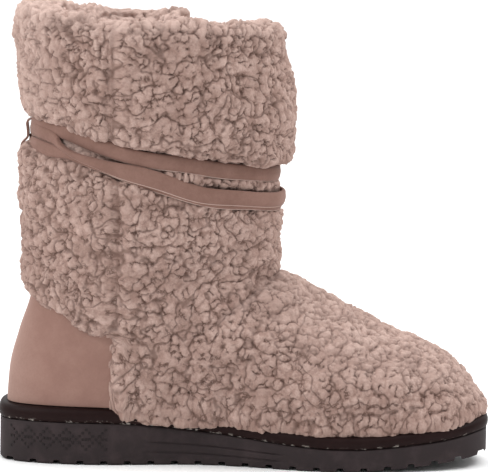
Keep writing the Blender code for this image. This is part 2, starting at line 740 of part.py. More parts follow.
def make_counter(material):
    """Suede heel counter, laid on the backing between the sole, the seams and the fleece"""
    shares = [(NEAR, k / BACK_COLUMNS - 1.0) for k in range(BACK_COLUMNS + 1)]
    columns = list(reversed(shares)) + [(FAR, share) for _, share in shares[1:]]
    order = column_shares(BACK_COLUMNS, FRONT_COLUMNS)
    levels = [k / COUNTER_ROWS for k in range(COUNTER_ROWS + 1)]
    whole = backing_grid(levels + [1.0 + 1 / SHAFT_ROWS], order)
    whole_normals = grid_normals(whole)
    picks = [order.index(column) if column in order else order.index((NEAR, column[1])) for column in columns]
    grid = whole[:-1][:, picks]
    normals = whole_normals[:-1][:, picks]
    normals[0, :, 2] = 0.0
    grid[0, :, 2] += COUNTER_MARGIN / 2
    grid[-1] += (grid[-2] - grid[-1]) * (COUNTER_MARGIN / np.linalg.norm(grid[-2] - grid[-1], axis=1))[:, None]
    for edge, beside in ((0, 1), (-1, -2)):
        step = grid[:, beside] - grid[:, edge]
        grid[:, edge] += step * (COUNTER_MARGIN / np.linalg.norm(step, axis=1))[:, None]
    inner = grid + normals * GAP
    outer = grid + normals * (GAP + COUNTER_THICKNESS)
    rows, count = grid.shape[:2]
    vertices = np.concatenate([outer.reshape(-1, 3), inner.reshape(-1, 3)])
    base = rows * count
    faces = []
    for r in range(rows - 1):
        for c in range(count - 1):
            quad = (r * count + c, (r + 1) * count + c, (r + 1) * count + c + 1, r * count + c + 1)
            faces.append(quad)
            faces.append(tuple(base + v for v in reversed(quad)))
    edge_loop = [c for c in range(count)]
    edge_loop += [r * count + count - 1 for r in range(1, rows)]
    edge_loop += [(rows - 1) * count + c for c in range(count - 2, -1, -1)]
    edge_loop += [r * count for r in range(rows - 2, 0, -1)]
    for k, v in enumerate(edge_loop):
        n = edge_loop[(k + 1) % len(edge_loop)]
        faces.append((v, n, base + n, base + v))
    return new_object("heel_counter", vertices, faces, material, 40.0)


def make_cuff(material):
    """Folded fleece cuff: an outer flap, a round fold over the shaft's edge and a short lip inside"""
    columns = column_shares(BACK_COLUMNS, FRONT_COLUMNS)
    seat_rows = backing_grid(list(reversed(CUFF_SEAT)), columns)
    seat_rows[0, :, 2] += 2 * GAP
    rows = []
    for c, (side, share) in enumerate(columns):
        foot = backing_point(SHAFT_TOP, side, share)
        low = float(cuff_edge(foot[0]))
        high = float(collar_height(foot[0], side, foot[1] / (SHAFT_WIDTH / 2)))
        flap = high - low
        swell = CUFF_FRONT_FULLNESS * float(smooth_step((foot[0] + SHAFT_SETBACK) / (SHAFT_DEPTH / 2)))
        lip = -BACKING - CUFF_CLEARANCE
        lip_end = SHAFT_TOP - CUFF_LIP_DEPTH
        profile = [(out * CUFF_THICKNESS + add * swell, low + flap * up) for _, out, up, add in CUFF_FLAP]
        profile += [(out * CUFF_THICKNESS, high - CUFF_FOLD * down) for _, out, down in CUFF_ROLL]
        profile += [(lip - out * CUFF_LIP, high - CUFF_FOLD * down) for _, out, down in CUFF_INSIDE]
        profile += [(lip - CUFF_LIP_END * CUFF_LIP, lip_end - CUFF_CLEARANCE), (lip, lip_end)]
        profile.append((lip, SHAFT_TOP + 2 * GAP))
        rows.append(profile)
    count, row_count = len(columns), len(rows[0])
    points = np.zeros((row_count, count, 3))
    for r in range(row_count):
        ring = np.array([backing_point(rows[c][r][1], *columns[c]) for c in range(count)])
        outward = level_normals(ring)
        for c in range(count):
            lump = CUFF_CURL * scatter(r, c, 2.0) if 2 <= r <= len(CUFF_FLAP) + 1 else 0.0
            points[r, c] = ring[c] + outward[c] * (rows[c][r][0] + lump)
    seats = np.array([row + level_normals(row) * 2 * GAP for row in seat_rows])
    points = np.concatenate([points, seats])
    faces = []
    for r in range(len(points)):
        faces += ring_quads(r * count, ((r + 1) % len(points)) * count, count)
    return new_object("cuff", points.reshape(-1, 3), faces, material, 60.0)


def level_normals(ring):
    """Outward directions, level with the floor, at the points of a closed ring"""
    around = np.roll(ring, -1, axis=0) - np.roll(ring, 1, axis=0)
    outward = np.stack([around[:, 1], -around[:, 0], 0 * around[:, 0]], axis=1)
    return outward / np.linalg.norm(outward, axis=1, keepdims=True)


def strap_height(row, x):
    """Middle height of a pass of the strap, from the keeper over the seam to the front"""
    edges = (CUFF_BACK_EDGE, CUFF_SEAM_EDGE, CUFF_FRONT_EDGE)
    heights = [edge - drop * STRAP_WIDTH for edge, drop in zip(edges, row[1:4])]
    back = -SHAFT_SETBACK - STRAP_BACK_PLACE * SHAFT_DEPTH / 2
    front = -SHAFT_SETBACK + SHAFT_DEPTH / 2
    return curve_through((back, -COUNTER_FRONT, front), heights, x)


def strap_pass(row, material):
    """One closed turn of the strap round the shaft, lying on the pressed pile"""
    columns = column_shares(BACK_COLUMNS, FRONT_COLUMNS)[::2]
    lift = strap_seat() + row[4] * STRAP_THICKNESS
    section = ((0.0, -0.5), (1.0, -0.5), (1.0, 0.5), (0.0, 0.5))
    count = len(columns)
    rings = []
    for out, up in section:
        def height_at(x):
            return strap_height(row, x) + up * STRAP_WIDTH
        ring = np.array([settled_point(height_at, *column) for column in columns])
        rings.append(ring + level_normals(ring) * (lift + out * STRAP_THICKNESS))
    faces = []
    for k in range(len(section)):
        faces += ring_quads(k * count, ((k + 1) % len(section)) * count, count)
    return new_object(row[0].replace(" ", "_"), np.concatenate(rings), faces, material, 40.0)


def join(target, other):
    """Union of two closed bodies, kept as one object"""
    modifier = target.modifiers.new("join_" + other.name, "BOOLEAN")
    modifier.operation = "UNION"
    modifier.solver = "EXACT"
    modifier.object = other
    other.hide_render = True
    other.display_type = "WIRE"


def make_strap(material):
    """Three turns of one suede strap, joined where they cross and under the keeper"""
    passes = [strap_pass(row, material) for row in STRAP_PASSES]
    strap = passes[1]
    join(strap, passes[0])
    join(strap, passes[2])
    strap.name = "wrap_strap"
    return strap


def make_keeper(material):
    """Suede loop at the back that holds the strap"""
    over = KEEPER_ROOM * STRAP_THICKNESS + 2 * GAP
    path = ((0.0, 0.0), (KEEPER_SHOULDER, over), (1.0 - KEEPER_SHOULDER, over), (1.0, 0.0))
    vertices, faces = [], []
    for share, out in path:
        height = CUFF_BACK_EDGE - 2 * GAP - (1.0 - share) * KEEPER_LENGTH
        back = float(back_edge(height)) - strap_seat()
        for y in (-KEEPER_WIDTH / 2, KEEPER_WIDTH / 2):
            for extra in (0.0, KEEPER_THICKNESS):
                vertices.append((back - out - extra, y, height))
    for k in range(len(path) - 1):
        a, b = 4 * k, 4 * k + 4
        faces += [(a, a + 1, b + 1, b), (a + 2, b + 2, b + 3, a + 3)]
        faces += [(a, b, b + 2, a + 2), (a + 1, a + 3, b + 3, b + 1)]
    end = 4 * (len(path) - 1)
    faces += [(0, 2, 3, 1), (end, end + 1, end + 3, end + 2)]
    return new_object("strap_keeper", vertices, faces, material, 40.0)


def make_insole(material):
    """Footbed that fills the floor of the upper"""
    columns = column_shares(BACK_COLUMNS, FRONT_COLUMNS)[::2]
    rings = []
    grid = backing_grid([0.0, 0.2], columns)
    normals = grid_normals(grid)[0]
    normals[:, 2] = 0.0
    normals /= np.linalg.norm(normals, axis=1, keepdims=True)
    floor = grid[0] - normals * (BACKING + INSOLE_CLEARANCE)
    shoulder = INSOLE_THICKNESS - INSOLE_EDGE
    for rise, inset in ((0.0, 0.0), (shoulder, 0.0), (INSOLE_THICKNESS, INSOLE_EDGE)):
        ring = floor - normals * inset
        ring[:, 2] = [float(sole_top(x)) + GAP + rise for x in ring[:, 0]]
        rings.append(ring)
    count = len(columns)
    faces = []
    for r in range(2):
        faces += ring_quads(r * count, (r + 1) * count, count)
    faces += [tuple(reversed(face)) for face in ladder_cap(0, count // 2)]
    faces += ladder_cap(2 * count, count // 2)
    return new_object("insole", np.concatenate(rings), faces, material, 30.0)


def main():
    for obj in list(bpy.data.objects):
        bpy.data.objects.remove(obj)
    fleece = make_material("fleece", FLEECE_COLOUR, 0.95)
    suede = make_material("suede", SUEDE_COLOUR, 0.9)
    strap_suede = make_material("strap_suede", STRAP_COLOUR, 0.88)
    rubber = make_material("sole_rubber", SOLE_COLOUR, 0.6)
    rim = make_material("rim_rubber", RIM_COLOUR, 0.35)
    footbed = make_material("footbed", FOOTBED_COLOUR, 0.95)
    make_outsole(rubber)
    make_rim(rim)
    make_insole(footbed)
    make_upper(fleece)
    make_counter(suede)
    make_cuff(fleece)
    make_strap(strap_suede)
    make_keeper(strap_suede)


main()
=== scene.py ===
"""Looks of the left fleece boot: curly fleece, suede panel and straps, and the rubber sole.

Metres, +Z up, toe towards +X, inner side towards -Y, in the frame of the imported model.
"""
import math

import bmesh
import bpy
import numpy as np
from mathutils import Matrix, Vector


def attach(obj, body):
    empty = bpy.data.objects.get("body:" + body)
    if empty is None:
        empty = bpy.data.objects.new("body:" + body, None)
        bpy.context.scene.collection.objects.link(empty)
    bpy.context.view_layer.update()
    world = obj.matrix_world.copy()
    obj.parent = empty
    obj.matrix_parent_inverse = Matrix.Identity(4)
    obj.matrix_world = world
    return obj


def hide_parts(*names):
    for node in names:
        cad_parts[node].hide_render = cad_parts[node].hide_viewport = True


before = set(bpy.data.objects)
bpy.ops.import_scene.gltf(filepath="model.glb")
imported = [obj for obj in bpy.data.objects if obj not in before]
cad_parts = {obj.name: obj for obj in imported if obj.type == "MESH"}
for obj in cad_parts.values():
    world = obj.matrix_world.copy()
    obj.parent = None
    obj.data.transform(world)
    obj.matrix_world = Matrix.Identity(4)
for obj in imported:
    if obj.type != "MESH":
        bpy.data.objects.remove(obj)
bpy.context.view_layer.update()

# The photograph's view: angles, distance, point aimed at, scale and shift of the picture
PHOTO_WIDTH = 488
VIEW_ELEVATION = math.radians(8.0)
VIEW_ROLL = math.radians(0.688)
VIEW_DISTANCE = 3.0
VIEW_AIM = Vector((0.0, 0.0, 0.128))
PIXELS_PER_METRE = 1740.06
SHIFT_RIGHT, SHIFT_DOWN = 1.46, 0.89
SENSOR = 36.0

# Sole sizes
SOLE_LENGTH = 0.280
BALL_WIDTH = 0.1000
HEEL_WIDTH = 0.0760
OUTSOLE_HEEL_HEIGHT = 0.0240
OUTSOLE_BALL_HEIGHT = 0.0128
RIM_HEEL_HEIGHT = 0.0086
RIM_TOE_HEIGHT = 0.0072
TOE_SPRING = 0.0078
TOE_DRIFT = 0.0050
TIP_LIFT = 0.0012
HEEL_ROUNDNESS, TOE_ROUNDNESS = 3.7, 3.1
LUG_PITCH = 0.0135
LUG_PHASE = 0.0014
LUG_DEPTH = 0.0024
LUG_GAP_MOUTH = 0.0048
LUG_GAP_TOP = 0.0032
CHANNEL_WIDTH = 0.0060
CHANNEL_END = 0.0220
CHANNEL_SHARE = 0.85

# Places along the sole as shares of half its length: start of the toe spring, both ends of the fall
# from heel to ball, and start and length of the lifted tip
SPRING_START, SPRING_POWER = 0.46, 1.35
FALL_START, FALL_END = -0.62, 0.40
TIP_START, TIP_LENGTH = 0.80, 0.20

# Grooves of the arch: both ends and their fade, then heights as shares of the outsole's and the width
ARCH_BACK, ARCH_FRONT, ARCH_FADE = -0.058, 0.026, 0.008
ARCH_GROOVES = (0.58, 0.32)
GROOVE_WIDTH_SHARE = 0.030
GROOVE_DEPTH = 0.0008

# Rounded edges of the outsole: inset in metres and share of the height
SOLE_LOW_EDGE, SOLE_LOW_SHARE = 0.0012, 0.06
SOLE_HIGH_EDGE, SOLE_HIGH_SHARE = 0.0006, 0.04

# Upper sizes
INSTEP_HEIGHT = 0.1045
COLLAR_HEIGHT = 0.2535
SHAFT_DEPTH = 0.1345
SHAFT_WIDTH = 0.0920
SHAFT_SETBACK = 0.0555
BACKING = 0.0025
PILE = 0.0065
COUNTER_FRONT = 0.0720
COUNTER_SIDE_HEIGHT = 0.0742
COUNTER_BACK_HEIGHT = 0.1010
COUNTER_BEND = 0.38
COUNTER_THICKNESS = 0.0016
COUNTER_SWELL = 0.0004
COUNTER_MARGIN = 0.0006
GAP = 0.0003

# Cuff sizes
CUFF_THICKNESS = 0.0105
CUFF_FRONT_FULLNESS = 0.0035
CUFF_BACK_DEPTH = 0.0570
CUFF_SEAM_DEPTH = 0.0670
CUFF_FRONT_DEPTH = 0.0820
CUFF_SEAM = -0.0750
CUFF_LIP = 0.0040
CUFF_LIP_DEPTH = 0.0060
CUFF_CLEARANCE = 0.0012
CUFF_FOLD = 0.0080
CUFF_OVERHANG = 0.0030
COLLAR_NEAR_LIFT = 0.0025
COLLAR_BACK_LIFT = 0.0056
COLLAR_FRONT_DROP = 0.0022
COLLAR_STEP = 0.0090
COLLAR_STEP_PLACE = -0.0392
COLLAR_STEP_LENGTH = 0.0060
COLLAR_FALL_START, COLLAR_FALL_LENGTH = 0.0222, 0.0450
COLLAR_RISE_START, COLLAR_RISE_LENGTH = 0.0237, 0.0360

# Strap sizes
STRAP_WIDTH = 0.0092
STRAP_THICKNESS = 0.0021
STRAP_PRESS = 0.55
KEEPER_WIDTH = 0.0085
KEEPER_LENGTH = 0.0168
KEEPER_THICKNESS = 0.0014
KEEPER_DROP = 0.0006
KEEPER_LIFT = 0.0005
KEEPER_BOW = 0.0062
KEEPER_BEND_SHARE = 0.22
KEEPER_EDGE = 0.0004

# Size of the voxels that the fleece is meshed with, and size and depth of its curls and swells
UPPER_VOXEL = 0.00099
CUFF_VOXEL = 0.00085
CURL_GROUP = 0.0120
CURL_CLUMP = 0.0057
CURL_FINE = 0.0026
GROUP_DEPTH = 0.0012
CLUMP_DEPTH = 0.0021
FINE_DEPTH = 0.0007
SWELL_SIZE = 0.0170
SWELL_DEPTH = 0.0026
FLUFF_SIZE, FLUFF_DEPTH = 0.0011, 0.0008
FIBRE_SIZE, FIBRE_DEPTH = 0.0006, 0.00025
PATCH_SIZE = 0.028

HALF_LENGTH = SOLE_LENGTH / 2
SHAFT_TOP = COLLAR_HEIGHT - COLLAR_STEP - COLLAR_FRONT_DROP - CUFF_FOLD
CUFF_BACK_EDGE = COLLAR_HEIGHT - CUFF_BACK_DEPTH
CUFF_SEAM_EDGE = COLLAR_HEIGHT - CUFF_SEAM_DEPTH
CUFF_FRONT_EDGE = COLLAR_HEIGHT - CUFF_FRONT_DEPTH
NEAR, FAR = -1, 1

# Sole outline: place along the sole, half width of the inner and the outer side
SOLE_OUTLINE = (
    ("heel end", 0.00, 0.95, 0.97),
    ("heel", 0.15, 0.98, 1.02),
    ("waist", 0.40, 0.61, 0.84),
    ("ball", 0.70, 0.96, 1.04),
    ("toe", 1.00, 0.88, 0.90),
)

# Back of the foot part: share of the instep height, reach as a share of half the length
HEEL_PROFILE = (
    ("base", 0.20, 0.964),
    ("seat", 0.50, 0.947),
    ("calcaneus", 0.70, 0.909),
    ("above counter", 0.92, 0.862),
)

# Top line of the vamp: share of the instep height, reach as a share of half the length
VAMP_PROFILE = (
    ("toe base", 0.20, 0.952),
    ("toe wall", 0.31, 0.944),
    ("toe cap", 0.38, 0.914),
    ("toe crown", 0.43, 0.887),
    ("toe top", 0.485, 0.842),
    ("box end", 0.54, 0.784),
    ("ball top", 0.602, 0.704),
    ("ball back", 0.652, 0.619),
    ("vamp", 0.723, 0.504),
    ("waist top", 0.817, 0.357),
    ("instep", 0.872, 0.283),
    ("instep back", 0.925, 0.212),
)

# Shaft: share of the rise from instep to collar, back and front edge from the shaft's middle
SHAFT_PROFILE = (
    ("ankle", 0.02, 0.962, 1.010),
    ("lower shaft", 0.14, 0.985, 1.020),
    ("shaft", 0.26, 1.002, 1.030),
    ("calf", 0.40, 1.014, 1.000),
    ("under strap", 0.485, 0.995, 0.990),
    ("strap", 0.545, 0.872, 1.005),
    ("cuff edge", 0.65, 0.905, 1.020),
    ("cuff", 0.80, 0.952, 1.004),
    ("collar", 1.00, 1.014, 0.956),
)

# Half widths of the foot: share of the instep height, rear, middle inner, middle outer, front inner,
# front outer, and the roundness of the back and the front end
FOOT_WIDTHS = (
    ("base", 0.25, 0.632, 0.570, 0.680, 0.820, 0.890, 3.4, 3.2),
    ("low side", 0.43, 0.660, 0.630, 0.710, 0.835, 0.905, 3.2, 3.0),
    ("side", 0.57, 0.670, 0.670, 0.730, 0.765, 0.825, 2.9, 2.5),
    ("top side", 0.72, 0.680, 0.705, 0.750, 0.705, 0.745, 2.6, 2.3),
    ("instep", 0.86, 0.700, 0.745, 0.785, 0.665, 0.700, 2.35, 2.2),
)

# Half widths of the shaft: share of the rise, then rear, middle and front
SHAFT_WIDTHS = (
    ("ankle", 0.00, 0.800, 0.875, 0.750),
    ("lower shaft", 0.14, 0.870, 0.955, 0.850),
    ("shaft", 0.31, 0.915, 1.000, 0.915),
    ("strap", 0.55, 0.890, 0.985, 0.905),
    ("cuff", 0.75, 0.950, 1.050, 0.955),
    ("collar", 1.00, 1.000, 1.105, 1.000),
)
SHAFT_ROUNDNESS = 2.15

# Places along the upper where its widths hold, and how far both ends narrow
WIDTH_STATIONS = (0.0, 0.15, 0.42, 0.70, 1.0)
BACK_NARROWING, FRONT_NARROWING = 0.96, 0.93

# Run of the strap on both sides: place along the boot, middle heights of the three passes and
# their widths as shares of the strap's width; the middle pass is twisted narrow near the back
STRAP_RUN = (
    # place, upper, middle, lower, upper width, middle width, lower width
    (-0.1221, 0.1950, 0.1912, 0.1830, 0.80, 0.90, 0.90),
    (-0.1078, 0.1939, 0.1889, 0.1803, 0.90, 1.00, 0.85),
    (-0.0968, 0.1903, 0.1822, 0.1786, 1.00, 0.42, 0.60),
    (-0.0827, 0.1862, 0.1760, 0.1752, 1.05, 0.60, 0.70),
    (-0.0597, 0.1788, 0.1691, 0.1672, 0.98, 1.10, 1.00),
    (-0.0257, 0.1732, 0.1581, 0.1559, 1.00, 1.02, 1.00),
    (0.0025, 0.1682, 0.1536, 0.1517, 0.95, 0.95, 0.95),
    (0.0203, 0.1643, 0.1490, 0.1475, 0.95, 0.95, 0.95),
)

# Passes: name, column of its height, column of its width, lift over the pressed pile
STRAP_PASSES = (
    ("upper", 1, 4, 0.0008),
    ("middle", 2, 5, 0.0022),
    ("lower", 3, 6, 0.0002),
)

# How far the fleece hangs down over the rim: place along the boot and drop under the rim's top
HEM_DROP = (
    (-0.076, 0.0010),
    (-0.070, 0.0052),
    (-0.062, 0.0068),
    (-0.046, 0.0062),
    (-0.030, 0.0048),
    (0.000, 0.0020),
    (0.030, 0.0012),
    (0.140, 0.0010),
)

# Section of the rim: share of its height and reach past the sole's outline
RIM_SECTION = ((0.0, -0.0011), (0.04, -0.0003), (0.12, 0.0004), (0.25, 0.0007), (0.40, 0.0009),
               (0.55, 0.0009), (0.70, 0.0006), (0.82, 0.0001), (0.91, -0.0006), (0.97, -0.0014),
               (1.0, -0.0026), (1.0, -0.0060))
# Share of glue on its lowest rows
GLUE_ROWS = (1.0, 1.0, 0.35)

# Section of the cuff. Its hem: share of the thickness, share of the front's fullness, rise over the edge
CUFF_HEM = ((0.12, 0.0, 0.0012), (0.45, 0.5, -0.0002), (0.90, 1.3, 0.0020))
# Its flap: rows, share of the flap at the first row, share per row and turn of the fullness per row
FLAP_ROWS, FLAP_START, FLAP_STEP, FLAP_BEND = 12, 0.08, 0.0675, 0.155
FLAP_FULLNESS = 1.2
# Its roll: share of the thickness and drop under the collar
CUFF_ROLL = ((0.94, 0.0050), (0.80, 0.0024), (0.60, 0.0009), (0.35, 0.0001), (0.10, 0.0))
# Its inside: share of the lip's reach and drop under the collar
CUFF_INSIDE = ((0.4, 0.0010), (0.8, 0.0035), (1.0, 0.0070), (0.9, 0.0120))
# Its seat: share of the lip at the end, rise of the end, drop under the shaft's top, two clearances
LIP_END_SHARE, LIP_END_RISE, SEAT_DROP = 0.7, 0.0010, 0.002
SEAT_HIGH, SEAT_LOW = 0.0008, 0.0010

# Small waves of the strap's height and tilt: size, rate and share of the pass's own phase
STRAP_SWAY = ((0.00035, 7.3, 1), (0.0002, 17.0, 2))
STRAP_TILT = ((0.0005, 4.1, 1), (0.0002, 13.0, 1))
STRAP_CUP = 0.0011
STRAP_CREASE, STRAP_CREASE_PLACE, STRAP_CREASE_WIDTH = 0.0006, 0.18, 0.07
STRAP_SEAT = 0.0008
STRAP_END_BLEND = 0.12
RAW_EDGE_START, RAW_EDGE_FADE = 0.44, 0.05


# Shape of the last

def smooth_step(value):
    """0 below 0, 1 above 1 and a soft S between"""
    clipped = np.clip(value, 0.0, 1.0)
    return clipped * clipped * (3.0 - 2.0 * clipped)


def quarter_round(value):
    """Rises from 0 to 1 like the edge of a rounded slab"""
    left = 1.0 - np.clip(value, 0.0, 1.0)
    return np.sqrt(1.0 - left * left)


def hump(value, middle, width):
    """Soft hump of height 1 at the middle"""
    return np.exp(-((value - middle) / width) ** 2)


def curve_through(knots, values, at):
    """Smooth curve through the knots that never overshoots, and is level past its ends"""
    knots = np.asarray(knots, float)
    values = np.asarray(values, float)
    steps = np.diff(knots)
    slopes = np.diff(values) / steps
    tangents = np.zeros(len(knots))
    for k in range(1, len(knots) - 1):
        if slopes[k - 1] * slopes[k] > 0:
            before = 2 * steps[k] + steps[k - 1]
            after = steps[k] + 2 * steps[k - 1]
            tangents[k] = (before + after) / (before / slopes[k - 1] + after / slopes[k])
    tangents[0] = slopes[0]
    tangents[-1] = slopes[-1]
    at = np.clip(at, knots[0], knots[-1])
    k = np.clip(np.searchsorted(knots, at, side="right") - 1, 0, len(steps) - 1)
    share = (at - knots[k]) / steps[k]
    rise_in = share * (1 - share) ** 2 * steps[k]
    rise_out = share ** 2 * (share - 1) * steps[k]
    level = share ** 2 * (3 - 2 * share)
    straight = values[k] * (1 - level) + values[k + 1] * level
    return straight + tangents[k] * rise_in + tangents[k + 1] * rise_out


def shaft_height(share):
    return INSTEP_HEIGHT + share * (COLLAR_HEIGHT - INSTEP_HEIGHT)


def edge_knots(foot_rows, foot_sign, shaft_column):
    """Heights and X of one edge of the upper, from the foot's rows and the shaft's"""
    knots = [row[1] * INSTEP_HEIGHT for row in foot_rows]
    knots += [shaft_height(row[1]) for row in SHAFT_PROFILE]
    values = [foot_sign * row[2] * HALF_LENGTH for row in foot_rows]
    values += [-SHAFT_SETBACK + foot_sign * row[shaft_column] * SHAFT_DEPTH / 2 for row in SHAFT_PROFILE]
    return knots, values


def back_edge(height):
    return curve_through(*edge_knots(HEEL_PROFILE, -1, 2), height)


def front_edge(height):
    return curve_through(*edge_knots(VAMP_PROFILE, 1, 3), height)


def upper_widths(height, side):
    """Rear, middle and front half width at this height, with the roundness of both ends"""
    knots = [row[1] * INSTEP_HEIGHT for row in FOOT_WIDTHS]
    knots += [shaft_height(row[1]) for row in SHAFT_WIDTHS]
    middle, front = (3, 5) if side == NEAR else (4, 6)
    columns = []
    for foot_column, shaft_column in ((2, 2), (middle, 3), (front, 4)):
        values = [row[foot_column] * BALL_WIDTH / 2 for row in FOOT_WIDTHS]
        values += [row[shaft_column] * SHAFT_WIDTH / 2 for row in SHAFT_WIDTHS]
        columns.append(float(curve_through(knots, values, height)))
    for column in (7, 8):
        values = [row[column] for row in FOOT_WIDTHS] + [SHAFT_ROUNDNESS] * len(SHAFT_WIDTHS)
        columns.append(float(curve_through(knots, values, height)))
    return columns


def toe_drift(x):
    return -TOE_DRIFT * smooth_step(x / HALF_LENGTH)


def rounded_side(back, front, stations, widths, back_round, front_round, side, count=241):
    """Dense line of one side of a closed outline, from the back tip to the front tip"""
    angle = np.linspace(0.0, math.pi, count)
    cosine, sine = np.cos(angle), np.sin(angle)
    power = np.where(cosine > 0, 2.0 / back_round, 2.0 / front_round)
    place = 0.5 - 0.5 * np.sign(cosine) * np.abs(cosine) ** power
    reach = np.abs(sine) ** power
    x = back + place * (front - back)
    y = side * curve_through(stations, widths, place) * reach + toe_drift(x)
    return np.stack([x, y], axis=1)


def line_lengths(line):
    steps = np.linalg.norm(np.diff(line, axis=0), axis=1)
    return np.concatenate([[0.0], np.cumsum(steps)])


def along(line, start, end, shares):
    """Points at the given shares of the length between two places on a dense line"""
    lengths = line_lengths(line)
    wanted = start + (end - start) * np.asarray(shares)
    return np.stack([np.interp(wanted, lengths, line[:, k]) for k in (0, 1)], axis=1)


# Loops of the backing at steps of height, each with four stretches of equal column count:
# back to seam, seam to toe, toe to seam and seam to back
LOOP_LOW, LOOP_HIGH, LOOP_STEP = 0.018, 0.272, 0.0008
STRETCH = 90


def upper_side(height, side):
    """One side of the backing at a height: back tip to seam, then seam to front tip"""
    rear, middle, front, back_round, front_round = upper_widths(height, side)
    widths = (rear * BACK_NARROWING, rear, middle, front, front * FRONT_NARROWING)
    line = rounded_side(float(back_edge(height)), float(front_edge(height)), WIDTH_STATIONS, widths,
                        back_round, front_round, side)
    lengths = line_lengths(line)
    seam = float(np.interp(-COUNTER_FRONT, line[:, 0], lengths))
    shares = np.arange(STRETCH) / STRETCH
    return along(line, 0.0, seam, shares), along(line, seam, lengths[-1], shares), line[-1:]


def backing_loops():
    loops = []
    for height in np.arange(LOOP_LOW, LOOP_HIGH, LOOP_STEP):
        near_back, near_front, toe = upper_side(height, NEAR)
        far_back, far_front, _ = upper_side(height, FAR)
        forward = np.concatenate([near_back, near_front, toe])
        backward = np.concatenate([far_back, far_front])[:0:-1]
        loops.append(np.concatenate([forward, backward]))
    return np.array(loops)


LOOPS = backing_loops()


def backing(height, turn):
    """Points of the backing. Turn goes from 0 at the back tip over 1 at the near seam, 2 at the front
    tip and 3 at the far seam to 4."""
    height, turn = np.broadcast_arrays(np.asarray(height, float), np.asarray(turn, float))
    row = np.clip((height - LOOP_LOW) / LOOP_STEP, 0, len(LOOPS) - 1.001)
    low = row.astype(int)
    up = (row - low)[..., None]
    place = turn * STRETCH
    column = np.floor(place).astype(int)
    on = (place - column)[..., None]
    count = LOOPS.shape[1]
    a, b = column % count, (column + 1) % count
    lower = LOOPS[low, a] * (1 - on) + LOOPS[low, b] * on
    upper = LOOPS[low + 1, a] * (1 - on) + LOOPS[low + 1, b] * on
    flat = lower * (1 - up) + upper * up
    return np.concatenate([flat, height[..., None]], axis=-1)


def outsole_bottom(x):
    """Height of the tread face: flat, then the toe spring"""
    start = SPRING_START * HALF_LENGTH
    rise = np.clip((x - start) / (HALF_LENGTH - start), 0.0, 1.0)
    return TOE_SPRING * rise ** SPRING_POWER


def outsole_top(x):
    """Height of the parting line between outsole and rim"""
    start, end = FALL_START * HALF_LENGTH, FALL_END * HALF_LENGTH
    share = smooth_step((x - start) / (end - start))
    tip = smooth_step((x / HALF_LENGTH - TIP_START) / TIP_LENGTH)
    height = OUTSOLE_HEEL_HEIGHT + (OUTSOLE_BALL_HEIGHT - OUTSOLE_HEEL_HEIGHT) * share
    return height + outsole_bottom(x) + TIP_LIFT * tip


def rim_height(x):
    share = smooth_step(0.5 + 0.5 * x / HALF_LENGTH)
    return RIM_HEEL_HEIGHT + (RIM_TOE_HEIGHT - RIM_HEEL_HEIGHT) * share


def sole_top(x):
    return outsole_top(x) + rim_height(x)


def counter_top(x):
    """Height of the counter's top edge, rising from the seam to the back"""
    start, end = -COUNTER_FRONT, -SHAFT_SETBACK - SHAFT_DEPTH / 2
    share = np.clip((start - x) / (start - end), 0.0, 1.0)
    rise = COUNTER_BACK_HEIGHT - COUNTER_SIDE_HEIGHT
    return COUNTER_SIDE_HEIGHT + rise * ((1 - COUNTER_BEND) * share + COUNTER_BEND * share ** 2)


def cuff_edge(x):
    """Height of the cuff's lower edge: from the back over the seam to the front"""
    places = (float(back_edge(CUFF_SEAM_EDGE)), -COUNTER_FRONT, float(front_edge(CUFF_SEAM_EDGE)))
    return curve_through(places, (CUFF_BACK_EDGE, CUFF_SEAM_EDGE, CUFF_FRONT_EDGE), x)


def table_curve(table, column, x):
    """A table's column at places along the boot; the first column holds the table's own places"""
    return curve_through([row[0] for row in table], [row[column] for row in table], x)


def collar_height(x, across):
    """Height of the collar's edge; across is -1 on the inner side and 1 on the outer side"""
    near_share = smooth_step(0.5 - 0.5 * across)
    front_share = smooth_step((x + SHAFT_SETBACK - COLLAR_FALL_START) / COLLAR_FALL_LENGTH)
    back_share = smooth_step((-x - SHAFT_SETBACK - COLLAR_RISE_START) / COLLAR_RISE_LENGTH)
    height = COLLAR_HEIGHT + COLLAR_NEAR_LIFT * near_share
    height = height + COLLAR_BACK_LIFT * back_share - COLLAR_FRONT_DROP * front_share
    step_share = smooth_step((x - COLLAR_STEP_PLACE) / COLLAR_STEP_LENGTH)
    return height - COLLAR_STEP * step_share * smooth_step(across * 2.0)


SETTLING_STEPS = 10


def settled(height_at, turn):
    """Backing points at these turns where the height itself depends on x"""
    x = np.full(len(turn), -COUNTER_FRONT)
    for _ in range(SETTLING_STEPS):
        point = backing(height_at(x), turn)
        x = 0.5 * (x + point[:, 0])
    point[:, 2] = height_at(x)
    return point


def unit(vectors):
    return vectors / np.linalg.norm(vectors, axis=-1, keepdims=True)


def onward(points, axis=0):
    """Directions of a closed row of points, from the one before each point to the one after it"""
    return np.roll(points, -1, axis=axis) - np.roll(points, 1, axis=axis)


def level_normals(ring):
    """Outward directions, level with the floor, at the points of a closed ring"""
    around = onward(ring)
    return unit(np.stack([around[:, 1], -around[:, 0], 0 * around[:, 0]], axis=1))


def grid_normals(grid, closed=True):
    """Outward normals of a grid of points, whose rows close on themselves or are open"""
    around = onward(grid, 1) if closed else np.gradient(grid, axis=1)
    return unit(np.cross(around, np.gradient(grid, axis=0)))


LEVEL_FROM = 0.105


def rising_rows(turn, shares, lift=0.0):
    """Rows of the backing from over the sole's top edge to where they run level"""
    return [settled(lambda x, share=share: (sole_top(x) + lift) * (1 - share) + LEVEL_FROM * share, turn)
            for share in shares]


# Mesh tools

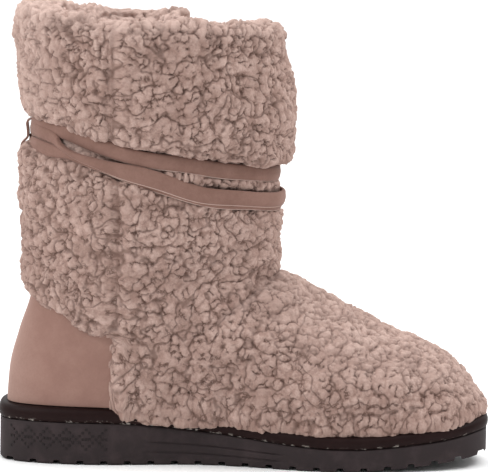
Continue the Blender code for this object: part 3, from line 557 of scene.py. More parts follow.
def new_object(name, vertices, faces):
    mesh = bpy.data.meshes.new(name)
    mesh.from_pydata([tuple(vertex) for vertex in vertices], [], faces)
    made = bpy.data.objects.new(name, mesh)
    bpy.context.collection.objects.link(made)
    return made


def new_piece(name, vertices, faces, replaced=(), smooth_angle=60.0):
    """Piece of the boot with smooth faces and, where an angle is given, sharp edges past it"""
    piece = new_object(name, vertices, faces)
    piece.data.validate()
    recalculate_normals(piece)
    piece.data.shade_smooth()
    if smooth_angle:
        piece.data.set_sharp_from_angle(angle=math.radians(smooth_angle))
    if replaced:
        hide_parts(*replaced)
    return piece


def paint(piece, look):
    piece.data.materials.clear()
    piece.data.materials.append(look)


def recalculate_normals(piece):
    work = bmesh.new()
    work.from_mesh(piece.data)
    bmesh.ops.recalc_face_normals(work, faces=work.faces)
    work.to_mesh(piece.data)
    work.free()


def bake(piece):
    """Replace the mesh with what its modifiers make of it"""
    graph = bpy.context.evaluated_depsgraph_get()
    shape = piece.evaluated_get(graph)
    mesh = bpy.data.meshes.new_from_object(shape, preserve_all_data_layers=True, depsgraph=graph)
    piece.modifiers.clear()
    piece.data = mesh


def ring_faces(ring_count, count, closed_stack=False):
    """Faces between stacked rings; a closed stack joins the last ring to the first"""
    faces = []
    last = ring_count if closed_stack else ring_count - 1
    for r in range(last):
        low, high = r * count, ((r + 1) % ring_count) * count
        faces += [(low + c, low + (c + 1) % count, high + (c + 1) % count, high + c) for c in range(count)]
    return faces


def closed_stack(rings):
    """Vertices and faces of a body between rings, with a fan on the first and the last ring"""
    ring_count, count = len(rings), len(rings[0])
    vertices = list(np.concatenate(rings)) + [np.mean(rings[0], axis=0), np.mean(rings[-1], axis=0)]
    faces = ring_faces(ring_count, count)
    bottom, top = ring_count * count, ring_count * count + 1
    start = (ring_count - 1) * count
    faces += [(bottom, (c + 1) % count, c) for c in range(count)]
    faces += [(top, start + c, start + (c + 1) % count) for c in range(count)]
    return vertices, faces


def shell_faces(rows, count):
    """Faces of a thin shell between an outer and an inner open grid, with its edge closed"""
    index = np.arange(rows * count).reshape(rows, count)
    corners = (index[:-1, :-1], index[:-1, 1:], index[1:, 1:], index[1:, :-1])
    quads = np.stack(corners, axis=-1).reshape(-1, 4)
    edge = np.concatenate([index[0], index[1:, -1], index[-1, -2::-1], index[-2:0:-1, 0]])
    after = np.roll(edge, -1)
    rim = np.stack([edge, index.size + edge, index.size + after, after], axis=1)
    return np.concatenate([quads, index.size + quads[:, ::-1], rim]).tolist()


def vertex_array(mesh, key="co"):
    """Places, or with another key the normals, of a mesh's vertices"""
    flat = np.zeros(len(mesh.vertices) * 3, np.float32)
    mesh.vertices.foreach_get(key, flat)
    return flat.reshape(-1, 3).astype(float)


def set_attributes(piece, **layers):
    """Store numbers or vectors on the vertices of a piece"""
    for name, values in layers.items():
        values = np.asarray(values, np.float32)
        kind, key = ("FLOAT", "value") if values.ndim == 1 else ("FLOAT_VECTOR", "vector")
        piece.data.attributes.new(name, kind, "POINT").data.foreach_set(key, values.ravel())


def keep_faces(piece, keep):
    """Delete the faces whose middle is not kept; keep takes arrays of middles and normals"""
    work = bmesh.new()
    work.from_mesh(piece.data)
    middles = np.array([face.calc_center_median() for face in work.faces])
    normals = np.array([face.normal for face in work.faces])
    wanted = keep(middles, normals)
    gone = [face for face, stays in zip(work.faces, wanted) if not stays]
    bmesh.ops.delete(work, geom=gone, context="FACES")
    work.to_mesh(piece.data)
    work.free()


# Node tools

def node(tree, kind, inputs=(), **settings):
    """Add a node, set its properties, and link or set its inputs"""
    made = tree.nodes.new(kind)
    for name, value in settings.items():
        setattr(made, name, value)
    for key, value in inputs:
        if isinstance(value, bpy.types.NodeSocket):
            tree.links.new(value, made.inputs[key])
        else:
            made.inputs[key].default_value = value
    return made


def maths(tree, operation, *values, clamp=False):
    made = node(tree, "ShaderNodeMath", enumerate(values), operation=operation, use_clamp=clamp)
    return made.outputs[0]


def vector_maths(tree, operation, *values):
    return node(tree, "ShaderNodeVectorMath", enumerate(values), operation=operation).outputs[0]


def ramp(tree, value, low, high, to_low=0.0, to_high=1.0):
    """Smooth change from one value to another between two limits"""
    made = node(tree, "ShaderNodeMapRange", (("Value", value), ("From Min", low), ("From Max", high),
                                             ("To Min", to_low), ("To Max", to_high)),
                interpolation_type="SMOOTHSTEP")
    return made.outputs["Result"]


def noise(tree, position, size, detail=2.0, roughness=0.5, output=0):
    """Noise with blobs of about this size in metres: its value, or its colour as output 1"""
    inputs = (("Vector", position), ("Scale", 1.0 / size), ("Detail", detail), ("Roughness", roughness))
    return node(tree, "ShaderNodeTexNoise", inputs).outputs[output]


def cells(tree, position, size, feature="F1"):
    """Distances in a Voronoi pattern with cells of about this size in metres"""
    inputs = (("Vector", position), ("Scale", 1.0 / size), ("Randomness", 1.0))
    return node(tree, "ShaderNodeTexVoronoi", inputs, feature=feature).outputs["Distance"]


def scaled(tree, vector, share):
    return node(tree, "ShaderNodeVectorMath", ((0, vector), ("Scale", share)), operation="SCALE").outputs[0]


def attribute(tree, name, output="Fac"):
    return node(tree, "ShaderNodeAttribute", attribute_name=name).outputs[output]


def fleece_relief(tree, position):
    """Curls: their height in metres, the shares of clump and fine curl, and the share of painted shade in the
    gaps at the point
    """
    drift = noise(tree, position, 0.9 * CURL_CLUMP, 4.0, 0.68, output=1)
    centred = vector_maths(tree, "SUBTRACT", drift, (0.5, 0.5, 0.5))
    warped = vector_maths(tree, "ADD", position, scaled(tree, centred, 1.15 * CURL_CLUMP))
    edge = cells(tree, warped, CURL_CLUMP, "DISTANCE_TO_EDGE")
    broken = ramp(tree, noise(tree, position, 0.8 * CURL_CLUMP, 1.0), 0.40, 0.62)
    clump_gap = maths(tree, "MULTIPLY", ramp(tree, edge, 0.0, 0.15, 1.0, 0.0), broken)
    dome = ramp(tree, cells(tree, warped, CURL_CLUMP), 0.10, 0.95, 1.0, 0.0)
    broad = noise(tree, position, CURL_GROUP, 1.5)
    fold = maths(tree, "ABSOLUTE", maths(tree, "SUBTRACT", broad, 0.5))
    group_gap = ramp(tree, fold, 0.0, 0.040, 1.0, 0.0)
    fine = ramp(tree, cells(tree, warped, CURL_FINE), 0.15, 0.90, 1.0, 0.0)
    pillow = maths(tree, "MULTIPLY_ADD", dome, 0.5, 0.5)
    pillow = maths(tree, "MULTIPLY", maths(tree, "SUBTRACT", 1.0, clump_gap), pillow)
    swell = ramp(tree, noise(tree, position, SWELL_SIZE, 0.0), 0.25, 0.75, -0.5, 0.5)
    height = maths(tree, "MULTIPLY", maths(tree, "SUBTRACT", 1.0, group_gap), GROUP_DEPTH)
    for part, depth in ((pillow, CLUMP_DEPTH), (fine, FINE_DEPTH), (swell, SWELL_DEPTH)):
        height = maths(tree, "MULTIPLY_ADD", part, depth, height)
    # Gaps between clumps and between groups of curls, where painted shade goes
    thin_gap = maths(tree, "MULTIPLY", ramp(tree, edge, 0.0, 0.10, 1.0, 0.0), broken)
    gap_shade = maths(tree, "MAXIMUM", thin_gap, maths(tree, "MULTIPLY", group_gap, 0.7))
    return height, dome, fine, gap_shade


def stored(tree, name, kind):
    made = node(tree, "GeometryNodeInputNamedAttribute", (("Name", name),), data_type=kind)
    return made.outputs["Attribute"]


def relief_modifier():
    """Geometry node tree that pushes a mesh out along its normals by the curls' height"""
    tree = bpy.data.node_groups.new("curls", "GeometryNodeTree")
    tree.is_modifier = True
    for way in ("INPUT", "OUTPUT"):
        tree.interface.new_socket("Geometry", in_out=way, socket_type="NodeSocketGeometry")
    start, end = tree.nodes.new("NodeGroupInput"), tree.nodes.new("NodeGroupOutput")
    height = fleece_relief(tree, stored(tree, "fleece_place", "FLOAT_VECTOR"))[0]
    middle = 0.5 * (GROUP_DEPTH + CLUMP_DEPTH + FINE_DEPTH)
    centred = maths(tree, "SUBTRACT", height, middle)
    push = maths(tree, "MULTIPLY", centred, stored(tree, "fleece_depth", "FLOAT"))
    offset = scaled(tree, tree.nodes.new("GeometryNodeInputNormal").outputs[0], push)
    moved = node(tree, "GeometryNodeSetPosition", (("Geometry", start.outputs[0]), ("Offset", offset)))
    tree.links.new(moved.outputs[0], end.inputs[0])
    return tree


# Materials

def material(name, finish):
    """New material with these constant inputs of its shader"""
    made = bpy.data.materials.new(name)
    made.use_nodes = True
    shader = made.node_tree.nodes["Principled BSDF"]
    for key, value in finish:
        shader.inputs[key].default_value = value
    return made, made.node_tree, shader


def mix_colour(tree, share, first, second):
    made = node(tree, "ShaderNodeMix", ((0, share), (6, first), (7, second)), data_type="RGBA")
    return made.outputs[2]


def bump(tree, height, distance, strength=1.0, below=None):
    inputs = [("Height", height), ("Distance", distance), ("Strength", strength)]
    if below is not None:
        inputs.append(("Normal", below))
    return node(tree, "ShaderNodeBump", inputs).outputs[0]


def srgb(red, green, blue):
    """Linear colour from 0 to 255 values as a screen shows them"""
    shares = [value / 255.0 for value in (red, green, blue)]
    linear = [share / 12.92 if share <= 0.04045 else ((share + 0.055) / 1.055) ** 2.4 for share in shares]
    return (*linear, 1.0)


def dress(made, shader, colour, normal):
    """Link a material's colour and bump to its shader"""
    made.node_tree.links.new(colour, shader.inputs["Base Color"])
    made.node_tree.links.new(normal, shader.inputs["Normal"])
    return made


# Paler tone of the inside, also used for painted light on the cuff's back and the vamp's top
PALE_AND_LIT_TONE = srgb(214, 188, 178)
PILE_FINISH = (
    ("Roughness", 0.95),
    ("Specular IOR Level", 0.15),
    ("Sheen Weight", 0.25),
    ("Sheen Roughness", 0.5),
    ("Sheen Tint", srgb(225, 200, 190)),
)
SUEDE_FINISH = (
    ("Roughness", 0.88),
    ("Specular IOR Level", 0.2),
    ("Sheen Weight", 0.3),
    ("Sheen Roughness", 0.4),
    ("Sheen Tint", srgb(230, 205, 195)),
)


def fleece_material(name, tip, mid, shade_tone):
    """Curly pile: pale tips, warm flanks, painted shade in the gaps, seams and crease, and a paler tone for
    the inside and for painted light, with fine fibres in the bump
    """
    made, tree, shader = material(name, PILE_FINISH)
    place = attribute(tree, "fleece_place", "Vector")
    _, clump, fine, gap_shade = fleece_relief(tree, place)
    soft = noise(tree, place, FLUFF_SIZE, 3.0, 0.65)
    broad = noise(tree, place, PATCH_SIZE, 2.0)
    level = maths(tree, "MULTIPLY_ADD", fine, 0.22, maths(tree, "MULTIPLY", clump, 0.35))
    level = maths(tree, "MULTIPLY_ADD", soft, 0.75, level)
    colour = mix_colour(tree, ramp(tree, level, 0.35, 1.05), mid, tip)
    colour = mix_colour(tree, ramp(tree, broad, 0.35, 0.70, 0.0, 0.50), colour, mid)
    dark, light = attribute(tree, "fleece_dark"), attribute(tree, "fleece_light")
    # Painted shade in the gaps, the seams and the crease, then the paler tone for the inside and for painted
    # light
    for share, most, tone in ((gap_shade, 0.74, shade_tone), (dark, 0.6, shade_tone), (light, 0.75, PALE_AND_LIT_TONE)):
        colour = mix_colour(tree, maths(tree, "MULTIPLY", share, most), colour, tone)
    near = bump(tree, noise(tree, place, FIBRE_SIZE, 2.0, 0.7), FIBRE_DEPTH, 0.7)
    raised = maths(tree, "MULTIPLY_ADD", soft, 1.0, maths(tree, "MULTIPLY", fine, 0.4))
    return dress(made, shader, colour, bump(tree, raised, FLUFF_DEPTH, 0.8, near))


NAP_CLOUD, NAP_GRAIN, NAP_GRAIN_DEPTH = 0.016, 0.0012, 0.00025
NAP_FINE, NAP_FINE_DEPTH = 0.0005, 0.00012
# Painted light round the back of the heel: where it is fullest, where it ends and its share
HEEL_LIGHT_BACK, HEEL_LIGHT_FRONT, HEEL_LIGHT_SHARE = -0.136, -0.112, 0.35


def suede_material(name, main, pale, dark, edge=None, worn_and_lit=None):
    """Brushed suede: cloudy nap, fine grain, paler raw edges where the mesh marks them, and painted
    light: a paler colour that it fades to round the back of the heel"""
    made, tree, shader = material(name, SUEDE_FINISH)
    place = node(tree, "ShaderNodeTexCoord").outputs["Object"]
    cloud = noise(tree, place, NAP_CLOUD, 3.0, 0.6)
    grain = noise(tree, place, NAP_GRAIN, 3.0, 0.65)
    colour = mix_colour(tree, ramp(tree, cloud, 0.30, 0.70), dark, pale)
    colour = mix_colour(tree, 0.70, colour, main)
    # Painted light: the suede turns paler round the back of the heel
    if worn_and_lit is not None:
        x = node(tree, "ShaderNodeSeparateXYZ", ((0, place),)).outputs[0]
        colour = mix_colour(tree, ramp(tree, x, HEEL_LIGHT_BACK, HEEL_LIGHT_FRONT, HEEL_LIGHT_SHARE, 0.0), colour, worn_and_lit)
    colour = mix_colour(tree, ramp(tree, grain, 0.35, 0.75, 0.0, 0.22), colour, dark)
    if edge is not None:
        colour = mix_colour(tree, attribute(tree, "raw_edge"), colour, edge)
    fine = bump(tree, noise(tree, place, NAP_FINE, 2.0, 0.7), NAP_FINE_DEPTH, 0.5)
    return dress(made, shader, colour, bump(tree, grain, NAP_GRAIN_DEPTH, 0.5, fine))


SCUFF_SIZE, FLECK_SIZE = 0.012, 0.0035
RUBBER_GRAIN, RUBBER_GRAIN_DEPTH = 0.0009, 0.00012


def rubber_material(name, main, worn_and_lit, roughness, dust, gloss=0.25, glue=None):
    """Moulded rubber with a fine grain, faint scuffs and, on the rim, broken flecks of glue"""
    made, tree, shader = material(name, (("Specular IOR Level", gloss),))
    place = node(tree, "ShaderNodeTexCoord").outputs["Object"]
    cloud = noise(tree, place, SCUFF_SIZE, 4.0, 0.65)
    colour = mix_colour(tree, ramp(tree, cloud, 0.40, 0.75, 0.0, dust), main, worn_and_lit)
    if glue is not None:
        flecks = ramp(tree, noise(tree, place, FLECK_SIZE, 3.0, 0.7), 0.56, 0.62)
        share = maths(tree, "MULTIPLY", attribute(tree, "glue_line"), flecks)
        colour = mix_colour(tree, share, colour, glue)
    rough = maths(tree, "MULTIPLY_ADD", cloud, 0.30, roughness - 0.15)
    tree.links.new(rough, shader.inputs["Roughness"])
    grain = noise(tree, place, RUBBER_GRAIN, 3.0, 0.6)
    return dress(made, shader, colour, bump(tree, grain, RUBBER_GRAIN_DEPTH, 0.6))


# Fleece of the upper

SEAM_DIP = 0.0024
SEAM_WIDTH = 0.0022
EDGE_ROLL = 0.0050
LAP = 0.0024
UNDER_COUNTER = 0.0010
CREASE_PLACE, CREASE_HEIGHT = 0.0186, 0.1084
CREASE_SLOPE, CREASE_LENGTH = 0.70, 0.060
CREASE_WIDTH, CREASE_DEPTH = 0.0030, 0.0026
HEM_THINNING, HEM_HEIGHT = 0.28, 0.0060
PRESS_HALF_WIDTH, PRESS_FADE = 0.0036, 0.0030
TUCK_START, TUCK_LENGTH = 0.002, 0.005
HEM_TUCK, HEM_TUCK_RISE = 0.0045, 0.0006
ROW_STEP, BODY_TOP, FLEECE_TOP = 0.0015, 0.2300, 0.2290

# Where the panels are parted: downward faces near the hem's line stay, and the panels lap at the seam
HEM_FACES_BELOW, HEM_UNDERSIDE = 0.05, 0.0034
FRONT_PANEL_LAP, BACK_PANEL_LAP, COUNTER_LAP = 0.0040, 0.0032, 0.0045


def counter_distance(x, z):
    """Distance from the counter's zone, positive on the fleece"""
    return np.maximum(x + COUNTER_FRONT + LAP, z - counter_top(x) + LAP)


def instep_crease(x, z):
    """1 on the crease that runs from the instep down the side, 0 away from it"""
    line = hump(z - CREASE_HEIGHT - CREASE_SLOPE * (x - CREASE_PLACE), 0.0, CREASE_WIDTH)
    return line * smooth_step((x - CREASE_PLACE + CREASE_LENGTH) / (0.7 * CREASE_LENGTH))


def pile_depth(x, z):
    """Thickness of the fleece over the backing"""
    depth = np.full(x.shape, PILE)
    above_counter = z > counter_top(np.minimum(x, -COUNTER_FRONT))
    depth = depth - SEAM_DIP * hump(x, -COUNTER_FRONT, SEAM_WIDTH) * above_counter
    depth = depth - CREASE_DEPTH * instep_crease(x, z)
    depth = depth * (1 - HEM_THINNING + HEM_THINNING * quarter_round((z - sole_top(x)) / HEM_HEIGHT))
    for _, column, _, _ in STRAP_PASSES:
        off = np.abs(z - table_curve(STRAP_RUN, column, x)) - PRESS_HALF_WIDTH
        depth = depth * (1.0 - (1.0 - STRAP_PRESS) * (1.0 - smooth_step(off / PRESS_FADE)))
    under_cuff = z - (cuff_edge(x) - CUFF_OVERHANG)
    depth = depth * (1.0 - smooth_step((under_cuff - TUCK_START) / TUCK_LENGTH))
    rolled = quarter_round(counter_distance(x, z) / EDGE_ROLL)
    return UNDER_COUNTER + (np.maximum(depth, UNDER_COUNTER) - UNDER_COUNTER) * rolled


def upper_base():
    """Filled body of the upper with its pile, from just under the sole's edge to under the cuff"""
    stretches = ((0, 1, 40), (1, 2, 120), (2, 3, 120), (3, 4, 40))
    turn = np.concatenate([np.linspace(start, end, count, endpoint=False) for start, end, count in stretches])
    rows = rising_rows(turn, np.linspace(0.0, 1.0, 60))
    rows += [backing(height, turn) for height in np.arange(LEVEL_FROM + ROW_STEP, BODY_TOP, ROW_STEP)]
    grid = np.array(rows)
    normals = grid_normals(grid)
    normals[0, :, 2] = 0.0
    normals[0] = unit(normals[0])
    outer = grid + normals * pile_depth(grid[..., 0], grid[..., 2])[..., None]
    hem = outer[0].copy()
    hem[:, 2] -= table_curve(HEM_DROP, 1, hem[:, 0])
    lower = hem - level_normals(hem) * HEM_TUCK
    lower[:, 2] += HEM_TUCK_RISE
    vertices, faces = closed_stack([lower, hem] + list(outer))
    return vertices, faces, hem


# Lengths over which the curls are stretched: across the side seam, up the hem and past the counter's
# front edge, and the height about which they are stretched there
COMB = 0.0050
HEM_COMB = 0.0080
FRONT_COMB = 0.0060
FRONT_COMB_MIDDLE = 0.0520
SEAM_OFFSET = 0.002


def fleece_place(points):
    """Coordinates for the curls: stretched along the combed side seam, down the hem and down the
    front edge of the counter"""
    x, z = points[:, 0], points[:, 2]
    place = points.copy()
    place[:, 0] = x - 0.55 * COMB * np.tanh((x + COUNTER_FRONT + SEAM_OFFSET) / COMB)
    rise = z - sole_top(x)
    place[:, 2] = z - 0.45 * HEM_COMB * np.tanh(rise / HEM_COMB)
    beside = 1 - smooth_step((x + COUNTER_FRONT - SEAM_OFFSET) / FRONT_COMB)
    beside = beside * (1 - smooth_step((z - COUNTER_SIDE_HEIGHT + 0.006) / 0.010))
    place[:, 2] = place[:, 2] - 0.35 * beside * (z - FRONT_COMB_MIDDLE)
    return place


def fleece_depth(points):
    """Share of the curls' depth: less at the combed seam and the hem, more on the collar's roll"""
    x, z = points[:, 0], points[:, 2]
    share = 1.0 - 0.45 * hump(x, -COUNTER_FRONT - SEAM_OFFSET, COMB)
    share = share * (0.75 + 0.25 * smooth_step((z - sole_top(x)) / 0.012))
    roll = smooth_step((z - COLLAR_HEIGHT + 0.020) / 0.014)
    return share * (1.0 + 0.35 * roll)


# Shares of painted shade in the seams and the crease, of paler pile on the collar's roll, and of painted
# light on the cuff's back and the vamp's top
SEAM_SHADE, CREASE_SHADE = 0.75, 0.5
ROLL_LIGHT, BACK_LIGHT, TOP_LIGHT = 0.45, 0.32, 0.30


def fleece_dark(points):
    """Share of shade in the side seams and the instep crease"""
    x, y, z = points.T
    cuff = smooth_step((z - cuff_edge(x)) / 0.004)
    place = -COUNTER_FRONT + (CUFF_SEAM + COUNTER_FRONT) * cuff
    above = smooth_step((z - COUNTER_SIDE_HEIGHT) / 0.006)
    seam = hump(x, place, 0.6 * SEAM_WIDTH) * above * (np.abs(y) > 0.015)
    crease = instep_crease(x, z) * (z < CREASE_HEIGHT + 0.01)
    return np.clip(SEAM_SHADE * seam + CREASE_SHADE * crease, 0, 1)


def fleece_light(points, normals):
    """Share of paler pile at the collar's roll and on the inside, and of painted light at the cuff's back and
    on the vamp's top
    """
    x, y, z = points.T
    across = y / (SHAFT_WIDTH / 2)
    roll = smooth_step((z - collar_height(x, across) + 0.012) / 0.012)
    reach = np.hypot((x + SHAFT_SETBACK) / (SHAFT_DEPTH / 2), across)
    inside = (1 - smooth_step((reach - 0.90) / 0.14)) * smooth_step((z - 0.15) / 0.02)
    # Painted light: the cuff's back is made paler where the lamps light it
    back = smooth_step((-x - 0.095) / 0.030) * smooth_step((z - cuff_edge(x)) / 0.010)
    # Painted light: faces of the vamp that turn upwards are made paler, as if lit from above
    top = smooth_step((normals[:, 2] - 0.20) / 0.50) * (z < INSTEP_HEIGHT + 0.010)
    return np.maximum(ROLL_LIGHT * roll + BACK_LIGHT * back + TOP_LIGHT * top, inside)


def curl(piece, curls):
    """Give a fleece mesh its curls"""
    points, normals = vertex_array(piece.data), vertex_array(piece.data, "normal")
    set_attributes(piece, fleece_place=fleece_place(points), fleece_depth=fleece_depth(points),
                   fleece_light=fleece_light(points, normals), fleece_dark=fleece_dark(points))
    piece.modifiers.new("curls", "NODES").node_group = curls
    bake(piece)


def remesh(piece, size):
    modifier = piece.modifiers.new("remesh", "REMESH")
    modifier.mode = "VOXEL"
    modifier.voxel_size = size
    modifier.use_smooth_shade = True
    bake(piece)


def make_upper_fleece(curls):
    """Front panel and back panel of fleece, parted at the side seams"""
    vertices, faces, hem = upper_base()
    front = new_piece("fleece_front", vertices, faces, ("upper",), 0.0)
    remesh(front, UPPER_VOXEL)
    back = bpy.data.objects.new("fleece_back", front.data.copy())
    bpy.context.collection.objects.link(back)

    def shown(middles, normals):
        kept = middles[:, 2] < FLEECE_TOP
        under = np.flatnonzero((normals[:, 2] < -0.5) & (middles[:, 2] < HEM_FACES_BELOW))
        steps = middles[under, None, :2] - hem[None, :, :2]
        kept[under] = np.sqrt((steps ** 2).sum(axis=2)).min(axis=1) < HEM_UNDERSIDE
        return kept

    def front_side(middles, normals):
        return shown(middles, normals) & (middles[:, 0] > -COUNTER_FRONT - FRONT_PANEL_LAP)

    def back_side(middles, normals):
        above = middles[:, 2] > counter_top(middles[:, 0]) - COUNTER_LAP
        return shown(middles, normals) & above & (middles[:, 0] <= -COUNTER_FRONT - BACK_PANEL_LAP)

    for piece, side in ((front, front_side), (back, back_side)):
        keep_faces(piece, side)
        curl(piece, curls)
    return [front, back]


# Cuff

def cuff_profile(x, across):
    """Rows of the cuff's section: distance from the backing and height, for arrays of columns"""
    low, high = cuff_edge(x), collar_height(x, across)
    swell = CUFF_FRONT_FULLNESS / CUFF_THICKNESS * smooth_step((x + SHAFT_SETBACK) / (SHAFT_DEPTH / 2))
    lip = BACKING + CUFF_CLEARANCE
    rows = [(share + fullness * swell, low + rise) for share, fullness, rise in CUFF_HEM]
    for k in range(FLAP_ROWS):
        full = FLAP_FULLNESS * swell * math.cos(FLAP_BEND * k)
        rows.append((1.0 + full, low + (high - low) * (FLAP_START + FLAP_STEP * k)))
    rows += [(share, high - drop) for share, drop in CUFF_ROLL]
    seam = SEAM_DIP * hump(x, CUFF_SEAM, SEAM_WIDTH)
    rows = [(share * CUFF_THICKNESS - seam, height) for share, height in rows]
    rows += [(-lip - share * CUFF_LIP, high - drop) for share, drop in CUFF_INSIDE]
    seat = SHAFT_TOP - CUFF_LIP_DEPTH
    rows += [(-lip - LIP_END_SHARE * CUFF_LIP, seat - LIP_END_RISE), (-lip, seat)]
    rows += [(SEAT_HIGH, SHAFT_TOP - SEAT_DROP), (SEAT_LOW, 0.5 * (SHAFT_TOP + low))]
    return [(out + 0 * x, height + 0 * x) for out, height in rows]


SEAT_TOP_DROP, SEAT_LOW_DROP = 0.0075, 0.010


def make_cuff(curls):
    """Folded fleece cuff, open where it lies against the shaft"""
    turn = np.linspace(0, 4, 360, endpoint=False)
    foot = backing(SHAFT_TOP, turn)
    rings = []
    for out, height in cuff_profile(foot[:, 0], foot[:, 1] / (SHAFT_WIDTH / 2)):
        ring = backing(height, turn)
        rings.append(ring + level_normals(ring) * out[:, None])
    faces = ring_faces(len(rings), len(turn), closed_stack=True)
    cuff = new_piece("fleece_cuff", np.concatenate(rings), faces, ("cuff",), 0.0)
    remesh(cuff, CUFF_VOXEL)
    centre = backing(0.5 * (CUFF_SEAM_EDGE + COLLAR_HEIGHT), turn).mean(axis=0)

    def shown(middles, normals):
        facing = (normals[:, :2] * unit(middles[:, :2] - centre[:2])).sum(axis=1)
        under = middles[:, 2] < SHAFT_TOP - SEAT_TOP_DROP
        over = middles[:, 2] > CUFF_SEAM_EDGE - SEAT_LOW_DROP
        return ~((facing < -0.5) & under & over)

    keep_faces(cuff, shown)
    curl(cuff, curls)
    return [cuff]


# Suede

def make_counter():
    """Heel counter laid round the heel, a thin closed panel with soft edges"""
    turn = np.concatenate([np.linspace(3.0, 4.0, 60, endpoint=False), np.linspace(4.0, 5.0, 61)])
    levels = np.linspace(0.0, 1.0, 50)

    def height_at(x, level):
        low = sole_top(x) + COUNTER_MARGIN
        return low + (counter_top(x) - low) * level

    grid = np.array([settled(lambda x, level=level: height_at(x, level), turn % 4.0) for level in levels])
    normals = grid_normals(grid, closed=False)
    normals[0, :, 2] = 0.0
    swell = COUNTER_SWELL * np.sin(np.linspace(0, math.pi, len(levels)))[:, None] ** 0.5
    outer = grid + normals * (GAP + COUNTER_THICKNESS + swell)[..., None]
    inner = grid + normals * GAP
    vertices = np.concatenate([outer.reshape(-1, 3), inner.reshape(-1, 3)])
    faces = shell_faces(*grid.shape[:2])
    return [new_piece("suede_counter", vertices, faces, ("heel_counter",), 50.0)]


def strap_section(count=32):
    """Closed section of the strap: across from -0.5 to 0.5 and out from -0.5 to 0.5, softly rounded"""
    section = []
    for angle in np.linspace(0, 2 * math.pi, count, endpoint=False):
        across, out = math.cos(angle), math.sin(angle)
        across = math.copysign(abs(across) ** 0.40, across) * 0.5
        out = math.copysign(abs(out) ** 0.65, out) * 0.5
        section.append((across, out))
    return section


def waves(turn, rows, phase):
    return sum(size * np.sin(turn * rate + shift * phase) for size, rate, shift in rows)


def strap_body(row, turn):
    """Rings of one pass of the strap round the shaft, and which of them are raw edges"""
    name, height_column, width_column, lift = row
    phase = len(name)
    centre = settled(lambda x: table_curve(STRAP_RUN, height_column, x), turn)
    centre[:, 2] += waves(turn, STRAP_SWAY, phase)
    outward = level_normals(centre)
    up = np.cross(outward, unit(onward(centre)))
    up *= np.sign(up[:, 2])[:, None]
    blend = smooth_step(np.minimum(turn, np.abs(2 - turn)) / STRAP_END_BLEND) * (turn < 2)
    width = STRAP_WIDTH * (1 + (table_curve(STRAP_RUN, width_column, centre[:, 0]) - 1) * blend)
    thickness = STRAP_THICKNESS * (1 + 0.9 * np.clip(1 - width / STRAP_WIDTH, 0, 1))
    tilt = waves(turn, STRAP_TILT, phase)
    seat = PILE * STRAP_PRESS + STRAP_SEAT + lift
    rings, marks = [], []
    for across, out in strap_section():
        crease = STRAP_CREASE * hump(across, STRAP_CREASE_PLACE, STRAP_CREASE_WIDTH)
        cup = STRAP_CUP * (1 - 4 * across ** 2) - crease
        offset = seat + thickness * (0.5 + out) + tilt * across * 2 + cup
        rings.append(centre + outward * offset[:, None] + up * (across * width)[:, None])
        marks.append(float(smooth_step((-across - RAW_EDGE_START) / RAW_EDGE_FADE)))
    return rings, marks


def make_strap():
    """Three turns of the narrow strap"""
    turn = np.linspace(0, 4, 420, endpoint=False)
    pieces = []
    for row in STRAP_PASSES:
        rings, marks = strap_body(row, turn)
        faces = ring_faces(len(rings), len(turn), closed_stack=True)
        replaced = ("wrap_strap",) if row[0] == "upper" else ()
        piece = new_piece("strap_" + row[0], np.concatenate(rings), faces, replaced, 60.0)
        set_attributes(piece, raw_edge=np.repeat(marks, len(turn)))
        pieces.append(piece)
    return pieces


def make_keeper():
    """Loop at the back that the strap runs through"""
    count = 24
    top = CUFF_BACK_EDGE - KEEPER_DROP
    vertices = []
    for share in np.arange(count) / (count - 1):
        height = top - KEEPER_LENGTH * (1 - share)
        bow = KEEPER_BOW * quarter_round(min(share, 1 - share) / KEEPER_BEND_SHARE)
        back = float(back_edge(height)) - (PILE * STRAP_PRESS + KEEPER_LIFT + bow)
        for across, out in ((-0.5, 0.0), (0.5, 0.0), (0.5, 1.0), (-0.5, 1.0)):
            vertices.append((back - out * KEEPER_THICKNESS, across * KEEPER_WIDTH, height))
    faces = ring_faces(count, 4)
    faces += [(3, 2, 1, 0), tuple(4 * (count - 1) + k for k in range(4))]
    keeper = new_piece("strap_loop", vertices, faces, ("strap_keeper",), 50.0)
    bevel = keeper.modifiers.new("soft", "BEVEL")
    bevel.width = KEEPER_EDGE
    bevel.segments = 2
    bake(keeper)
    return [keeper]


# Sole

def sole_outline(count):
    """Sole outline with the same number of columns on both sides"""
    ball, heel = BALL_WIDTH / 2, HEEL_WIDTH / 2
    stations = [row[1] for row in SOLE_OUTLINE]
    points = []
    for side, column in ((NEAR, 2), (FAR, 3)):
        widths = [row[column] * (heel if k < 2 else ball) for k, row in enumerate(SOLE_OUTLINE)]
        line = rounded_side(-HALF_LENGTH, HALF_LENGTH, stations, widths, HEEL_ROUNDNESS, TOE_ROUNDNESS, side)
        points.append(along(line, 0.0, line_lengths(line)[-1], np.linspace(0.0, 1.0, count + 1)))
    flat = np.concatenate([points[0], points[1][-2:0:-1]])
    return np.column_stack([flat, np.zeros(len(flat))])


